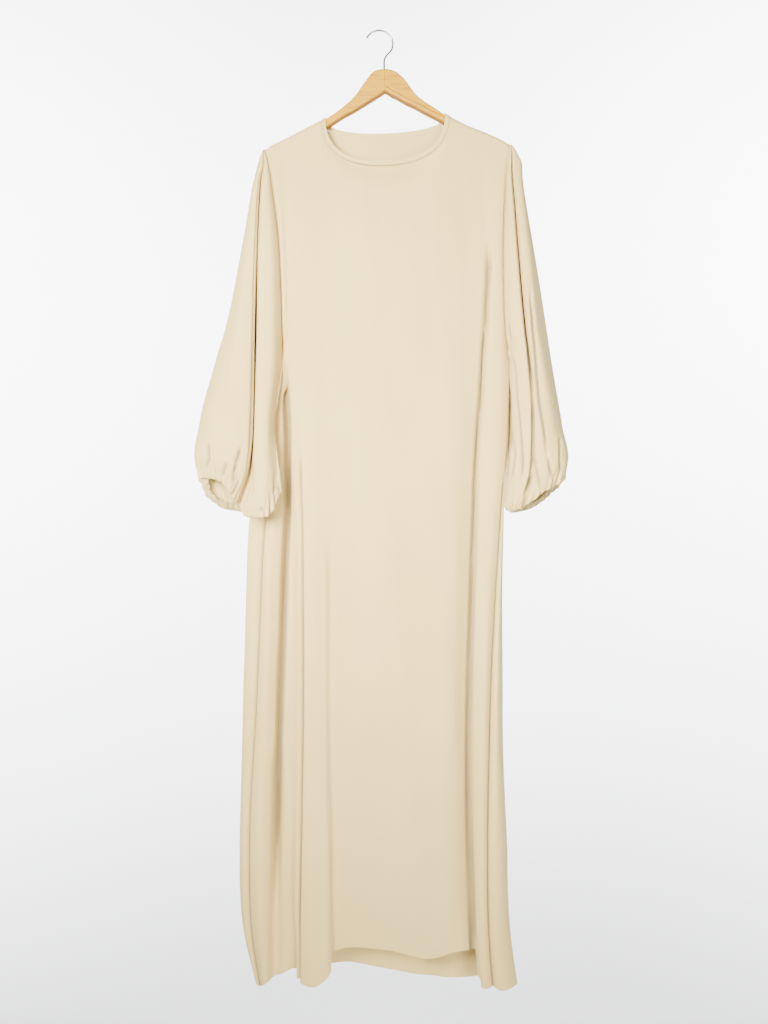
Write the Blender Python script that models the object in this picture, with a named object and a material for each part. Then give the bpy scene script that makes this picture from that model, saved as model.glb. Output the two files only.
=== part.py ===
"""Long closed abaya with balloon sleeves, hanging flat on a wooden hanger.

The origin is the inside top of the hanger's hook, +Z is up and the garment's front faces -Y. Constants and
tables are in millimetres and the meshes are in metres. Each cloth piece is a thin wall on rows of points: a
row lies at one height, and a smooth curve runs in it through the piece's fold lines. A fold line has its own
row in a table, with its place at each named height and the number of cells between it and the next one.
"""

import collections
import math

import bpy
import numpy as np

MM = 0.001
TINY = 1e-9

# Cloth and seams
CLOTH_WALL = 1.5
CASING_WALL = 3.0
SEAM_GAP = 0.4
CASING_GAP = 0.7
BINDING_GAP = 1.2
UNDERARM_GAP = 2.0
BINDING_LIFT = 0.5
BINDING_WIDTH = 7.0
BINDING_FLARE = 0.045
BINDING_FLARE_DROP = 20.0
CASING_WIDTH = 10.0
CASING_TAPER = 1.5
CAP_GAP = 2.2

# Hanger
WIRE_RADIUS = 1.6
HOOK_CENTRE = (-2.0, -21.6)
HOOK_RADIUS = 23.2
HOOK_TIP_ANGLE = 157.0
HOOK_END_ANGLE = -26.0
STEM_X = 6.6
STEM_BORE_DEPTH = 22.0
WOOD_THICKNESS = 12.0
WOOD_CORNER = 5.5
WOOD_CLEARANCE = 1.2
BORE_CLEARANCE = 0.3
BORE_OVERSHOOT = 10.0
STEM_FOOT_GAP = 0.5
# Bend between the hook's curve and its stem, as (x, z)
HOOK_BEND = ((14.2, -37.6), (9.6, -42.2), (7.2, -47.5), (6.6, -53.0), (6.6, -62.0))

# Shoulders and neck, seen from the front
TIP_LEFT = -195.0
TIP_RIGHT = 219.0
NECK_LEFT = -93.0
NECK_RIGHT = 110.0
FRONT_NECK_DEPTH = 80.0
BACK_NECK_DEPTH = 27.0
NECK_POWER = 2.4
SHOULDER_ROLL = 9.0

# Heights of the named levels. Below the last one each fold line runs on to the hem at a height of its own.
LEVELS = {
    "yoke": -273.0,
    "chest": -371.0,
    "scye": -512.0,
    "underarm": -545.0,
    "elbow": -677.0,
    "hip": -847.0,
    "thigh": -1136.0,
    "shin": -1391.0,
}
LEVEL_ROWS = {"chest": 1, "scye": 1, "underarm": 2, "elbow": 2, "hip": 2, "thigh": 2, "shin": 2, "hem": 3}
FLARE_POWER = 2.0
HEM_LEVEL = -1600.0
# Rows between the top edge and the yoke, as shares of the way down
TOP_STEPS = (0.0, 0.009, 0.03, 0.085, 0.25, 0.58, 1.0)

# Line over the shoulders, from the left tip to the right one, and the wood's height beneath it. The line
# is the outer face of the cloth, and between the neck points it goes on as far above the bare wood.
SHOULDER_LINE = (
    # x, line, wood height
    (-205.0, -208.0, 14.0),
    (-195.0, -201.5, 14.5),
    (-184.0, -193.8, 15.5),
    (-158.6, -181.4, 16.8),
    (-124.6, -163.4, 17.8),
    (-91.0, -145.8, 18.4),
    (-63.4, -126.2, 20.6),
    (-44.7, -109.2, 27.5),
    (-26.0, -83.7, 41.5),
    (-12.0, -66.7, 47.5),
    (0.0, -62.1, 44.6),
    (8.0, -61.6, 42.1),
    (22.0, -64.2, 44.0),
    (38.0, -75.7, 42.5),
    (62.4, -106.7, 25.5),
    (93.8, -129.0, 19.7),
    (110.0, -139.5, 17.7),
    (144.0, -158.0, 16.2),
    (179.7, -172.6, 15.7),
    (206.0, -184.6, 14.7),
    (219.0, -192.5, 14.0),
)
WOOD_LEFT = -184.0
WOOD_RIGHT = 202.0
WOOD_END = 5.0

Fold = collections.namedtuple("Fold", "cells top hem x y")
SleeveFold = collections.namedtuple("SleeveFold", "cells cuff x y")

# Fold lines of the front panel, from the left side seam to the right one. The place along the top edge
# is 0 to 1 on the left shoulder, 1 to 2 round the neck and 2 to 3 on the right shoulder. x and y are read
# at the yoke, chest, scye, underarm, elbow, hip, thigh, shin and hem.
FRONT_FOLDS = {
    "side seam left": Fold(
        cells=2, top=0.0, hem=-1620,
        x=(-182, -171, -166, -165, -176, -196, -210, -222, -204),
        y=(-12, -12, -11, -2, -6, -10, -12, -13, -12),
    ),
    "lobe A": Fold(
        cells=2, top=0.12, hem=-1612,
        x=(-175, -165, -160, -160, -167, -183, -195, -203, -194),
        y=(-14, -16, -16, -13, -15, -19, -24, -26, -27),
    ),
    "valley L2": Fold(
        cells=2, top=0.28, hem=-1602,
        x=(-165, -158, -157, -158, -158, -160, -170, -177, -176),
        y=(-14, -15, -14, -14, -13, -11, -13, -17, -20),
    ),
    "bank L2": Fold(
        cells=2, top=0.42, hem=-1582,
        x=(-156, -150, -149, -149, -149, -148, -152, -152, -137),
        y=(-15, -18, -20, -20, -19, -16, -19, -23, -25),
    ),
    "edge L3": Fold(
        cells=3, top=0.6, hem=-1599,
        x=(-140, -139, -137, -136, -134, -132, -132, -137, -140),
        y=(-17, -21, -25, -26, -29, -32, -36, -39, -42),
    ),
    "lobe B": Fold(
        cells=3, top=0.8, hem=-1609,
        x=(-120, -118, -117, -116, -115, -114, -113, -113, -112),
        y=(-18, -24, -28, -29, -32, -36, -41, -47, -56),
    ),
    "edge L4": Fold(
        cells=3, top=1.0, hem=-1586,
        x=(-103, -101, -100, -100, -99, -97, -92, -84, -82),
        y=(-18, -24, -28, -28, -31, -35, -40, -44, -48),
    ),
    "valley L4": Fold(
        cells=3, top=1.12, hem=-1562,
        x=(-90, -88, -86, -86, -84, -82, -76, -77, -86),
        y=(-18, -24, -27, -27, -30, -34, -37, -37, -36),
    ),
    "centre left": Fold(
        cells=3, top=1.27, hem=-1545,
        x=(-52, -52, -52, -52, -51, -50, -46, -46, -48),
        y=(-19, -24, -28, -28, -30, -34, -37, -40, -42),
    ),
    "centre": Fold(
        cells=3, top=1.5, hem=-1549,
        x=(8, 8, 8, 8, 8, 8, 8, 8, 8),
        y=(-20, -26, -30, -31, -33, -37, -41, -44, -46),
    ),
    "centre right": Fold(
        cells=5, top=1.75, hem=-1564,
        x=(78, 80, 82, 82, 83, 84, 84, 84, 84),
        y=(-19, -25, -29, -30, -32, -35, -39, -42, -44),
    ),
    "soft fold R": Fold(
        cells=3, top=2.0, hem=-1553,
        x=(120, 122, 124, 124, 124, 124, 122, 126, 134),
        y=(-17, -22, -26, -27, -29, -32, -37, -39, -38),
    ),
    "valley R1": Fold(
        cells=2, top=2.42, hem=-1555,
        x=(174, 180, 180, 178, 172, 160, 149, 150, 159),
        y=(-13, -15, -17, -17, -17, -19, -20, -21, -26),
    ),
    "edge C": Fold(
        cells=2, top=2.62, hem=-1608,
        x=(187, 191, 192, 190, 185, 171, 160, 161, 165),
        y=(-14, -17, -18, -18, -21, -25, -30, -34, -42),
    ),
    "lobe C": Fold(
        cells=2, top=2.85, hem=-1614,
        x=(201, 202, 204, 207, 202, 189, 175, 172, 177),
        y=(-14, -16, -16, -14, -20, -28, -36, -40, -48),
    ),
    "side seam right": Fold(
        cells=0, top=3.0, hem=-1612,
        x=(212, 209, 212, 217, 214, 203, 186, 181, 189),
        y=(-12, -12, -11, -2, -9, -20, -28, -32, -38),
    ),
}

# Fold lines of the back panel, from the right side seam round the back to the left one
BACK_FOLDS = {
    "side seam right": Fold(
        cells=2, top=3.0, hem=-1612,
        x=(212, 209, 212, 217, 214, 203, 186, 181, 189),
        y=(12, 12, 11, -2, -9, -20, -28, -32, -38),
    ),
    "lobe D": Fold(
        cells=2, top=2.95, hem=-1618,
        x=(209, 206, 210, 215, 213.5, 207, 197, 195, 203),
        y=(12, 13, 12, 4, -3, -17, -31, -37, -45),
    ),
    "edge D": Fold(
        cells=2, top=2.88, hem=-1612,
        x=(203, 200, 205, 210, 210, 207, 208, 216, 232),
        y=(13, 14, 14, 11, 6, -3, -9, -12, -18),
    ),
    "back D": Fold(
        cells=2, top=2.75, hem=-1614,
        x=(194, 193, 196, 198, 199, 200, 200, 206, 214),
        y=(14, 16, 17, 17, 16, 14, 13, 12, 8),
    ),
    "back right": Fold(
        cells=2, top=2.5, hem=-1614,
        x=(176, 176, 176, 176, 176, 174, 172, 172, 176),
        y=(15, 18, 21, 22, 23, 25, 27, 28, 30),
    ),
    "back fold right": Fold(
        cells=4, top=2.0, hem=-1612,
        x=(132, 132, 131, 131, 130, 128, 124, 122, 124),
        y=(15, 18, 19, 19, 19, 18, 17, 16, 15),
    ),
    "back centre right": Fold(
        cells=3, top=1.8, hem=-1612,
        x=(72, 72, 72, 72, 71, 70, 70, 70, 72),
        y=(16, 20, 23, 23, 25, 27, 29, 31, 34),
    ),
    "back centre": Fold(
        cells=3, top=1.5, hem=-1598,
        x=(8, 8, 8, 8, 8, 8, 6, 6, 4),
        y=(16, 19, 21, 21, 21, 22, 22, 22, 23),
    ),
    "back centre left": Fold(
        cells=4, top=1.2, hem=-1590,
        x=(-56, -56, -56, -56, -57, -58, -60, -62, -62),
        y=(16, 20, 23, 23, 25, 27, 29, 31, 33),
    ),
    "back fold left": Fold(
        cells=2, top=1.0, hem=-1594,
        x=(-112, -112, -110, -110, -111, -114, -118, -122, -120),
        y=(15, 18, 19, 19, 19, 18, 16, 15, 14),
    ),
    "back left": Fold(
        cells=2, top=0.45, hem=-1604,
        x=(-152, -148, -146, -146, -153, -170, -180, -186, -176),
        y=(15, 18, 21, 22, 23, 25, 26, 27, 28),
    ),
    "back A": Fold(
        cells=2, top=0.22, hem=-1612,
        x=(-168, -160, -156, -157, -174, -204, -216, -224, -206),
        y=(14, 16, 17, 17, 16, 13, 12, 11, 7),
    ),
    "edge A": Fold(
        cells=2, top=0.12, hem=-1610,
        x=(-174, -164, -159, -161, -187, -224, -233, -238, -212),
        y=(13, 14, 14, 11, 7, 0, -1, -2, -3),
    ),
    "lobe A back": Fold(
        cells=2, top=0.05, hem=-1617,
        x=(-179, -168, -163, -163, -184, -212, -224, -232, -210),
        y=(12, 13, 12, 4, -1, -9, -11, -12, -10),
    ),
    "side seam left": Fold(
        cells=0, top=0.0, hem=-1620,
        x=(-182, -171, -166, -165, -176, -196, -210, -222, -204),
        y=(12, 12, 11, -2, -6, -10, -12, -13, -12),
    ),
}

# Fold lines of the sleeves, from the front of the armhole round the outer edge to its back. The places
# are read at the cap, yoke, chest, scye, underarm, elbow and cuff, and each line ends at its own cuff height.
CAP_HEIGHT = -225.0
CUFF_HEIGHT = -790.0
CAP_POWER = 0.75
SLEEVE_ROWS = {"elbow": 3, "cuff": 4}
GATHERED_ROWS = 2
GATHERS = 18
GATHER_DEPTH = 2.6
LEFT_SLEEVE_FOLDS = {
    "armhole front": SleeveFold(
        cells=3, cuff=-790,
        x=(-191, -182, -171, -166, -165, -174, -166),
        y=(-10, -12, -12, -11, -2, -38, -50),
    ),
    "inner lobe": SleeveFold(
        cells=3, cuff=-812,
        x=(-195, -190, -184, -181, -180, -186, -181),
        y=(-14, -21, -28, -36, -38, -62, -66),
    ),
    "valley right bank": SleeveFold(
        cells=3, cuff=-817,
        x=(-198, -201, -202, -202, -202, -204, -203),
        y=(-12, -19, -26, -34, -38, -58, -62),
    ),
    "main valley": SleeveFold(
        cells=3, cuff=-804,
        x=(-199, -206, -208, -209, -210, -213, -222),
        y=(-9, -9, -8, -12, -14, -36, -46),
    ),
    "valley left bank": SleeveFold(
        cells=3, cuff=-792,
        x=(-201, -210, -213, -216, -217, -220, -236),
        y=(-12, -18, -24, -32, -36, -58, -62),
    ),
    "outer lobe": SleeveFold(
        cells=3, cuff=-768,
        x=(-205, -214, -222, -238, -244, -264, -268),
        y=(-12, -19, -27, -38, -42, -66, -62),
    ),
    "outer front": SleeveFold(
        cells=3, cuff=-762,
        x=(-208, -217, -231, -252, -260, -290, -294),
        y=(-7, -12, -18, -26, -30, -52, -50),
    ),
    "outer edge": SleeveFold(
        cells=3, cuff=-760,
        x=(-210, -219, -236, -265, -275, -306, -307),
        y=(0, 0, -1, -3, -4, -26, -36),
    ),
    "outer back": SleeveFold(
        cells=3, cuff=-774,
        x=(-207, -215, -230, -253, -262, -294, -294),
        y=(7, 11, 15, 14, 12, -6, -22),
    ),
    "back crest": SleeveFold(
        cells=3, cuff=-797,
        x=(-203, -208, -216, -232, -238, -262, -262),
        y=(10, 16, 20, 20, 18, -2, -18),
    ),
    "back valley": SleeveFold(
        cells=3, cuff=-808,
        x=(-199, -200, -202, -208, -211, -224, -228),
        y=(10, 14, 16, 14, 10, -12, -26),
    ),
    "back inner": SleeveFold(
        cells=3, cuff=-816,
        x=(-195, -190, -184, -182, -182, -194, -194),
        y=(10, 14, 17, 16, 12, -22, -34),
    ),
    "armhole back": SleeveFold(
        cells=0, cuff=-790,
        x=(-191, -182, -171, -166, -165, -174, -166),
        y=(10, 12, 12, 11, -2, -38, -50),
    ),
}
RIGHT_SLEEVE_FOLDS = {
    "armhole front": SleeveFold(
        cells=3, cuff=-802,
        x=(213, 212, 209, 212, 217, 215, 208),
        y=(-10, -12, -12, -11, -2, 6, -22),
    ),
    "inner lobe": SleeveFold(
        cells=3, cuff=-807,
        x=(218, 218, 221, 226, 230, 232, 223),
        y=(-14, -20, -26, -30, -28, -32, -36),
    ),
    "valley right bank": SleeveFold(
        cells=3, cuff=-801,
        x=(221, 225, 231, 240, 243, 251, 239),
        y=(-13, -19, -25, -32, -34, -41, -42),
    ),
    "main valley": SleeveFold(
        cells=3, cuff=-795,
        x=(224, 229, 238, 247, 249, 258, 246),
        y=(-8, -8, -8, -9, -10, -12, -20),
    ),
    "valley left bank": SleeveFold(
        cells=3, cuff=-791,
        x=(227, 232, 242, 252, 255, 266, 260),
        y=(-12, -17, -22, -30, -32, -38, -40),
    ),
    "outer lobe": SleeveFold(
        cells=3, cuff=-770,
        x=(233, 238, 249, 262, 267, 285, 286),
        y=(-12, -18, -25, -33, -36, -42, -38),
    ),
    "outer front": SleeveFold(
        cells=3, cuff=-762,
        x=(238, 243, 256, 274, 280, 302, 306),
        y=(-8, -12, -16, -20, -22, -27, -26),
    ),
    "outer edge": SleeveFold(
        cells=3, cuff=-761,
        x=(240, 246, 262, 284, 289, 311, 315),
        y=(0, 0, 0, 0, 0, -2, -6),
    ),
    "outer back": SleeveFold(
        cells=3, cuff=-771,
        x=(238, 243, 255, 274, 279, 301, 306),
        y=(8, 11, 14, 17, 18, 20, 12),
    ),
    "back crest": SleeveFold(
        cells=3, cuff=-787,
        x=(232, 236, 246, 259, 264, 282, 284),
        y=(11, 15, 19, 23, 24, 28, 20),
    ),
    "back valley": SleeveFold(
        cells=3, cuff=-802,
        x=(224, 227, 234, 243, 248, 257, 254),
        y=(10, 13, 14, 15, 16, 20, 14),
    ),
    "back inner": SleeveFold(
        cells=3, cuff=-809,
        x=(217, 217, 220, 224, 229, 235, 226),
        y=(10, 13, 16, 16, 14, 22, 8),
    ),
    "armhole back": SleeveFold(
        cells=0, cuff=-802,
        x=(213, 212, 209, 212, 217, 215, 208),
        y=(10, 12, 12, 11, -2, 6, -22),
    ),
}

CREAM = (0.80, 0.69, 0.52, 1.0)
WOOD = (0.78, 0.50, 0.20, 1.0)
CHROME = (0.75, 0.75, 0.77, 1.0)


def clear_scene():
    """Remove every object of the scene."""
    for obj in list(bpy.data.objects):
        bpy.data.objects.remove(obj, do_unlink=True)


def make_material(name, colour, roughness, metallic=0.0):
    """Principled material with one colour."""
    material = bpy.data.materials.new(name)
    material.use_nodes = True
    shader = material.node_tree.nodes["Principled BSDF"]
    shader.inputs["Base Color"].default_value = colour
    shader.inputs["Roughness"].default_value = roughness
    shader.inputs["Metallic"].default_value = metallic
    material.diffuse_color = colour
    return material


def eased(places, values, at):
    """Smooth curve through values at rising places, read at other places, with no overshoot.

    Each stretch is a cubic whose end slopes are the harmonic mean of the slopes beside it.
    """
    places = np.asarray(places, float)
    values = np.asarray(values, float)
    steps = np.diff(places)
    slopes = np.diff(values, axis=0) / steps.reshape((-1,) + (1,) * (values.ndim - 1))
    before, after = slopes[:-1], slopes[1:]
    total = np.where(before + after == 0, 1, before + after)
    mean = np.where(before * after > 0, 2 * before * after / total, 0)
    ends = np.concatenate([slopes[:1], mean, slopes[-1:]])
    at = np.clip(np.asarray(at, float), places[0], places[-1])
    k = np.clip(np.searchsorted(places, at, side="right") - 1, 0, len(steps) - 1)
    wide = (slice(None),) + (None,) * (values.ndim - 1)
    h = steps[k][wide]
    u = ((at - places[k]) / steps[k])[wide]
    rise = values[k] * (2 * u**3 - 3 * u**2 + 1) + values[k + 1] * (3 * u**2 - 2 * u**3)
    return rise + h * (ends[k] * (u**3 - 2 * u**2 + u) + ends[k + 1] * (u**3 - u**2))


def unit(vectors):
    """Vectors of length 1 that point the same way, along the last axis."""
    return vectors / np.maximum(np.linalg.norm(vectors, axis=-1, keepdims=True), TINY)


def through(stations, cells):
    """Curve through stations (station, row, axis), as (row, column, axis) with cells between stations."""
    first = 2 * stations[:1] - stations[1:2]
    last = 2 * stations[-1:] - stations[-2:-1]
    p = np.concatenate([first, stations, last])
    columns = []
    for k, count in enumerate(cells[:-1]):
        start, end = p[k + 1], p[k + 2]
        chord = np.linalg.norm(end - start, axis=1, keepdims=True)
        leave = chord * (unit(start - p[k]) + unit(end - start)) / 2
        reach = chord * (unit(p[k + 3] - end) + unit(end - start)) / 2
        for u in np.arange(count) / count:
            at = start * (2 * u**3 - 3 * u**2 + 1) + end * (3 * u**2 - 2 * u**3)
            columns.append(at + leave * (u**3 - 2 * u**2 + u) + reach * (u**3 - u**2))
    columns.append(p[-2])
    return np.stack(columns, axis=1)


def spread(values, cells):
    """Values at the stations, read at each column between them."""
    places = np.concatenate([[0], np.cumsum(cells[:-1])])
    return np.interp(np.arange(places[-1] + 1), places, values)


def ridge(x):
    """Height of the cloth's outer face where it lies over the top of the hanger."""
    table = np.array(SHOULDER_LINE)
    return eased(table[:, 0], table[:, 1], np.atleast_1d(x))


def wood_top(x):
    """Height of the wood's top edge."""
    return ridge(x) - CLOTH_WALL - WOOD_CLEARANCE


def wood_bottom(x):
    """Height of the wood's lower edge."""
    table = np.array(SHOULDER_LINE)
    return wood_top(x) - eased(table[:, 0], table[:, 2], np.atleast_1d(x))


def roll(x, z):
    """Half depth of the cloth at height z where it comes down over the hanger, as a quarter circle."""
    drop = np.clip((ridge(x) - z) / SHOULDER_ROLL, 0, 1)
    return SHOULDER_ROLL * np.sqrt(1 - (1 - drop) ** 2)


def neck_edge(turn, depth):
    """Place (x, z) on the neck edge, where turn goes from 0 at the left neck point to 1 at the right one."""
    angle = np.pi * np.asarray(turn, float)
    across = np.sign(np.cos(angle)) * np.abs(np.cos(angle)) ** (2 / NECK_POWER)
    down = np.abs(np.sin(angle)) ** (2 / NECK_POWER)
    middle = (NECK_LEFT + NECK_RIGHT) / 2
    half = (NECK_RIGHT - NECK_LEFT) / 2
    x = middle - half * across
    level = ridge(np.array([NECK_LEFT, NECK_RIGHT]))
    return x, np.interp(x, (NECK_LEFT, NECK_RIGHT), level) - depth * down


def neck_turn(share):
    """Share of the neck's half turn, closer spaced near the neck points, where the edge is steep."""
    return (1 - np.cos(np.pi * np.asarray(share, float))) / 2


def edge_directions(x, z):
    """Directions (x, z) that lead away from the neck opening, square to the edge."""
    dx = np.gradient(x)
    dz = np.gradient(z)
    size = np.hypot(dx, dz)
    return dz / size, -dx / size


def top_edge(places, depth):
    """Place (x, z) of a panel's top edge: shoulder, neck with the binding's width left free, shoulder."""
    places = np.asarray(places, float)
    room = BINDING_WIDTH + BINDING_GAP
    turn = neck_turn(np.clip(places - 1, 0, 1))
    fine = neck_turn(np.linspace(0, 1, 401))
    x, z = neck_edge(fine, depth)
    away_x, away_z = edge_directions(x, z)
    x = x + away_x * room
    z = z + away_z * room
    neck_x = np.interp(turn, fine, x)
    neck_z = np.interp(turn, fine, z)
    left = TIP_LEFT + (neck_x - TIP_LEFT) * np.clip(places, 0, 1)
    right = neck_x + (TIP_RIGHT - neck_x) * np.clip(places - 2, 0, 1)
    x = np.where(places < 1, left, np.where(places > 2, right, neck_x))
    on_shoulder = (places <= 1) | (places >= 2)
    return x, np.where(on_shoulder, ridge(x), np.minimum(neck_z, ridge(x)))


def panel_rows(folds, side, depth, seams=None):
    """Outer face of a body panel as (row, column, axis). Side is -1 for the front and 1 for the back.

    Below the armholes, the back panel's edges run along the seams of the front panel.
    """
    cells = [fold.cells for fold in folds.values()]
    top_x, top_z = top_edge(spread([fold.top for fold in folds.values()], cells), depth)
    x = np.array([fold.x for fold in folds.values()], float)
    y = np.array([fold.y for fold in folds.values()], float)
    hem = spread([fold.hem for fold in folds.values()], cells)
    heights = list(LEVELS.values()) + [HEM_LEVEL]
    wanted = [heights[0]]
    for name, low, high in zip(LEVEL_ROWS, heights[1:], heights[:-1]):
        wanted += list(high + (low - high) * np.arange(1, LEVEL_ROWS[name] + 1) / LEVEL_ROWS[name])
    wanted = np.array(wanted)
    down = -np.array(heights)
    last = LEVEL_ROWS["hem"]
    flare = wanted.copy()
    share = np.arange(last + 1) / last
    flare[-last - 1:] = wanted[-last - 1] + share**FLARE_POWER * (heights[-1] - wanted[-last - 1])
    stations = np.stack([eased(down, x.T, -flare).T, eased(down, y.T, -flare).T], axis=2)
    if seams is not None:
        sewn = armhole_row()
        above = len(TOP_STEPS) - 1
        stations[0, sewn - above:] = seams[sewn:, -1, :2]
        stations[-1, sewn - above:] = seams[sewn:, 0, :2]
    plan = through(stations, cells)
    rows = np.empty(plan.shape[:2] + (3,))
    rows[..., :2] = plan
    rows[..., 2] = wanted[:, None]
    rows[-last - 1:, :, 2] = wanted[-last - 1] + share[:, None] * (hem - wanted[-last - 1])
    upper = []
    for step in TOP_STEPS[:-1]:
        blend = step * step * (3 - 2 * step)
        at_x = top_x + (rows[0, :, 0] - top_x) * (1 - (1 - step) ** 1.5)
        at_z = top_z + (rows[0, :, 2] - top_z) * step
        at_y = side * np.maximum(roll(at_x, at_z), SEAM_GAP / 2) * (1 - blend) + rows[0, :, 1] * blend
        upper.append(np.stack([at_x, at_y, at_z], axis=1))
    return np.concatenate([np.array(upper), rows])


def armhole_row():
    """Number of the row that lies at the underarm, the same in panels and sleeves."""
    return len(TOP_STEPS) - 1 + LEVEL_ROWS["chest"] + LEVEL_ROWS["scye"] + LEVEL_ROWS["underarm"]


def sleeve_rows(folds, panel, column):
    """Outer face of a sleeve. Its upper rows lie at the heights of the armhole edge's points."""
    cells = [fold.cells for fold in folds.values()]
    edge = panel[1:armhole_row() + 1, column]
    named = [LEVELS[name] for name in ("yoke", "chest", "scye", "underarm", "elbow")]
    heights = [CAP_HEIGHT] + named + [CUFF_HEIGHT]
    x = np.array([fold.x for fold in folds.values()], float)
    y = np.array([fold.y for fold in folds.values()], float)
    cuff = spread([fold.cuff for fold in folds.values()], cells)
    lower = []
    high = LEVELS["underarm"]
    for name, low in (("elbow", LEVELS["elbow"]), ("cuff", CUFF_HEIGHT)):
        count = SLEEVE_ROWS[name]
        lower += list(high + (low - high) * np.arange(1, count + 1) / count)
        high = low
    wanted = np.concatenate([edge[:, 2], lower])
    down = -np.array(heights)
    stations = np.stack([eased(down, x.T, -wanted).T, eased(down, y.T, -wanted).T], axis=2)
    shape_cap(stations, wanted, edge, panel[0, column, 2])
    plan = through(stations, cells)
    rows = np.empty(plan.shape[:2] + (3,))
    rows[..., :2] = plan
    rows[..., 2] = wanted[:, None]
    last = SLEEVE_ROWS["cuff"]
    share = np.arange(last + 1)[:, None] / last
    rows[-last - 1:, :, 2] = wanted[-last - 1] + share * (cuff - wanted[-last - 1])
    return rows


def shape_cap(stations, heights, edge, tip):
    """Round the sleeve's cap from the shoulder tip down, starting at the armhole edge."""
    for k in range(len(edge)):
        start = stations[0, k, 0]
        near = np.clip((heights[k] - LEVELS["yoke"]) / (CAP_HEIGHT - LEVELS["yoke"]), 0, 1)
        below_tip = np.clip((tip - heights[k]) / (tip - CAP_HEIGHT), 0, 1)
        armhole = start + near * (edge[k, 0] - start)
        outward = np.sign(stations[:, k, 0].mean() - start)
        stations[:, k, 0] = armhole + (stations[:, k, 0] - start) * below_tip**CAP_POWER
        stations[1:-1, k, 0] += outward * CAP_GAP * (1 - below_tip)
        if heights[k] > CAP_HEIGHT:
            stations[:, k, 1] *= min(1.0, abs(edge[k, 1]) / abs(stations[0, k, 1]))


def normals_of(rows, closed_from=None):
    """Outward unit normals of a face given as rows of points. From closed_from on, a row is a closed ring."""
    along = np.gradient(rows, axis=0)
    across = np.gradient(rows, axis=1)
    if closed_from is not None:
        seam = rows[closed_from:, 1] - rows[closed_from:, -2]
        across[closed_from:, 0] = seam
        across[closed_from:, -1] = seam
    return unit(np.cross(along, across))


def lean_over_hanger(rows, normals, side):
    """Give the points near a panel's top edge the normals of the quarter circle over the hanger."""
    for k in range(3):
        turn = 1 - np.clip((ridge(rows[k, :, 0]) - rows[k, :, 2]) / SHOULDER_ROLL, 0, 1)
        normals[k] = np.stack([0 * turn, side * np.sqrt(1 - turn**2), turn], axis=1)


def share_normals(first, second):
    """Give two edges that are sewn together the same normals."""
    both = unit(first + second)
    first[:] = both
    second[:] = both


def pull_edge(rows, column, gap, upto=None):
    """Move an edge column of a face away from its seam by gap, along the face."""
    beside = 1 if column == 0 else -2
    part = slice(0, upto)
    rows[part, column] += unit(rows[part, beside] - rows[part, column]) * gap


def parted(rows, row):
    """Rows down to the given one and rows from it on, with the seam's gap between the two parts."""
    upper = list(rows[:row + 1])
    lower = list(rows[row:])
    upper[-1] = upper[-1] + unit(upper[-2] - upper[-1]) * SEAM_GAP / 2
    lower[0] = lower[0] + unit(lower[1] - lower[0]) * SEAM_GAP / 2
    return upper, lower


def doubled(rows):
    """Rows with a point added between each two of their columns."""
    count = rows.shape[1]
    fine = np.arange(2 * count - 1) / 2
    low = np.floor(fine).astype(int)
    high = np.minimum(low + 1, count - 1)
    return (rows[:, low] + rows[:, high]) / 2


def strip_faces(upper, lower):
    """Faces between two rows of corners, where the lower one has as many cells or twice as many."""
    faces = []
    if len(upper) == len(lower):
        for k in range(len(upper) - 1):
            faces.append((upper[k], upper[k + 1], lower[k + 1], lower[k]))
        return faces
    for k in range(len(upper) - 1):
        middle = lower[2 * k + 1]
        faces.append((upper[k], middle, lower[2 * k]))
        faces.append((upper[k], upper[k + 1], middle))
        faces.append((upper[k + 1], lower[2 * k + 2], middle))
    return faces


def wall_object(name, outer, inner, material, closed_from=None):
    """Closed wall between two faces, each a list of rows, which are closed rings from row closed_from on."""
    points = []
    corners = [[], []]
    for face, rows in enumerate((outer, inner)):
        for k, row in enumerate(rows):
            ring = closed_from is not None and k >= closed_from
            count = len(row) - 1 if ring else len(row)
            start = len(points)
            points.extend(row[:count])
            ids = list(range(start, start + count))
            corners[face].append(ids + ids[:1] if ring else ids)
    faces = []
    out, back = corners
    for k in range(len(out) - 1):
        faces += strip_faces(out[k], out[k + 1])
        faces += [tuple(reversed(face)) for face in strip_faces(back[k], back[k + 1])]
    faces += strip_faces(back[0], out[0])
    faces += strip_faces(out[-1], back[-1])
    open_rows = len(out) - 1 if closed_from is None else closed_from
    for k in range(open_rows):
        faces.append((out[k][0], out[k + 1][0], back[k + 1][0], back[k][0]))
        faces.append((out[k][-1], back[k][-1], back[k + 1][-1], out[k + 1][-1]))
    mesh = bpy.data.meshes.new(name)
    outward = [tuple(reversed(face)) for face in faces]
    mesh.from_pydata([tuple(v * MM for v in place) for place in points], [], outward)
    finish_mesh(name, mesh, material)


def finish_mesh(name, mesh, material, sharp=50.0):
    """Put the mesh in the scene as one smooth object with its material."""
    mesh.shade_smooth()
    mesh.set_sharp_from_angle(angle=math.radians(sharp))
    mesh.materials.append(material)
    obj = bpy.data.objects.new(name, mesh)
    bpy.context.scene.collection.objects.link(obj)
    return obj


def gather_waves(count, seed):
    """Heights of the gathers round a cuff, between -1 and 1, a little uneven."""
    turn = np.linspace(0, 1, count)
    full = 2 * np.pi
    phase = GATHERS * turn + 0.22 * np.sin(full * (3 * turn + seed)) + 0.12 * np.sin(full * (7 * turn + seed))
    size = 0.78 + 0.22 * np.sin(full * (2 * turn + 2 * seed))
    return size * np.sin(full * phase)


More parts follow.
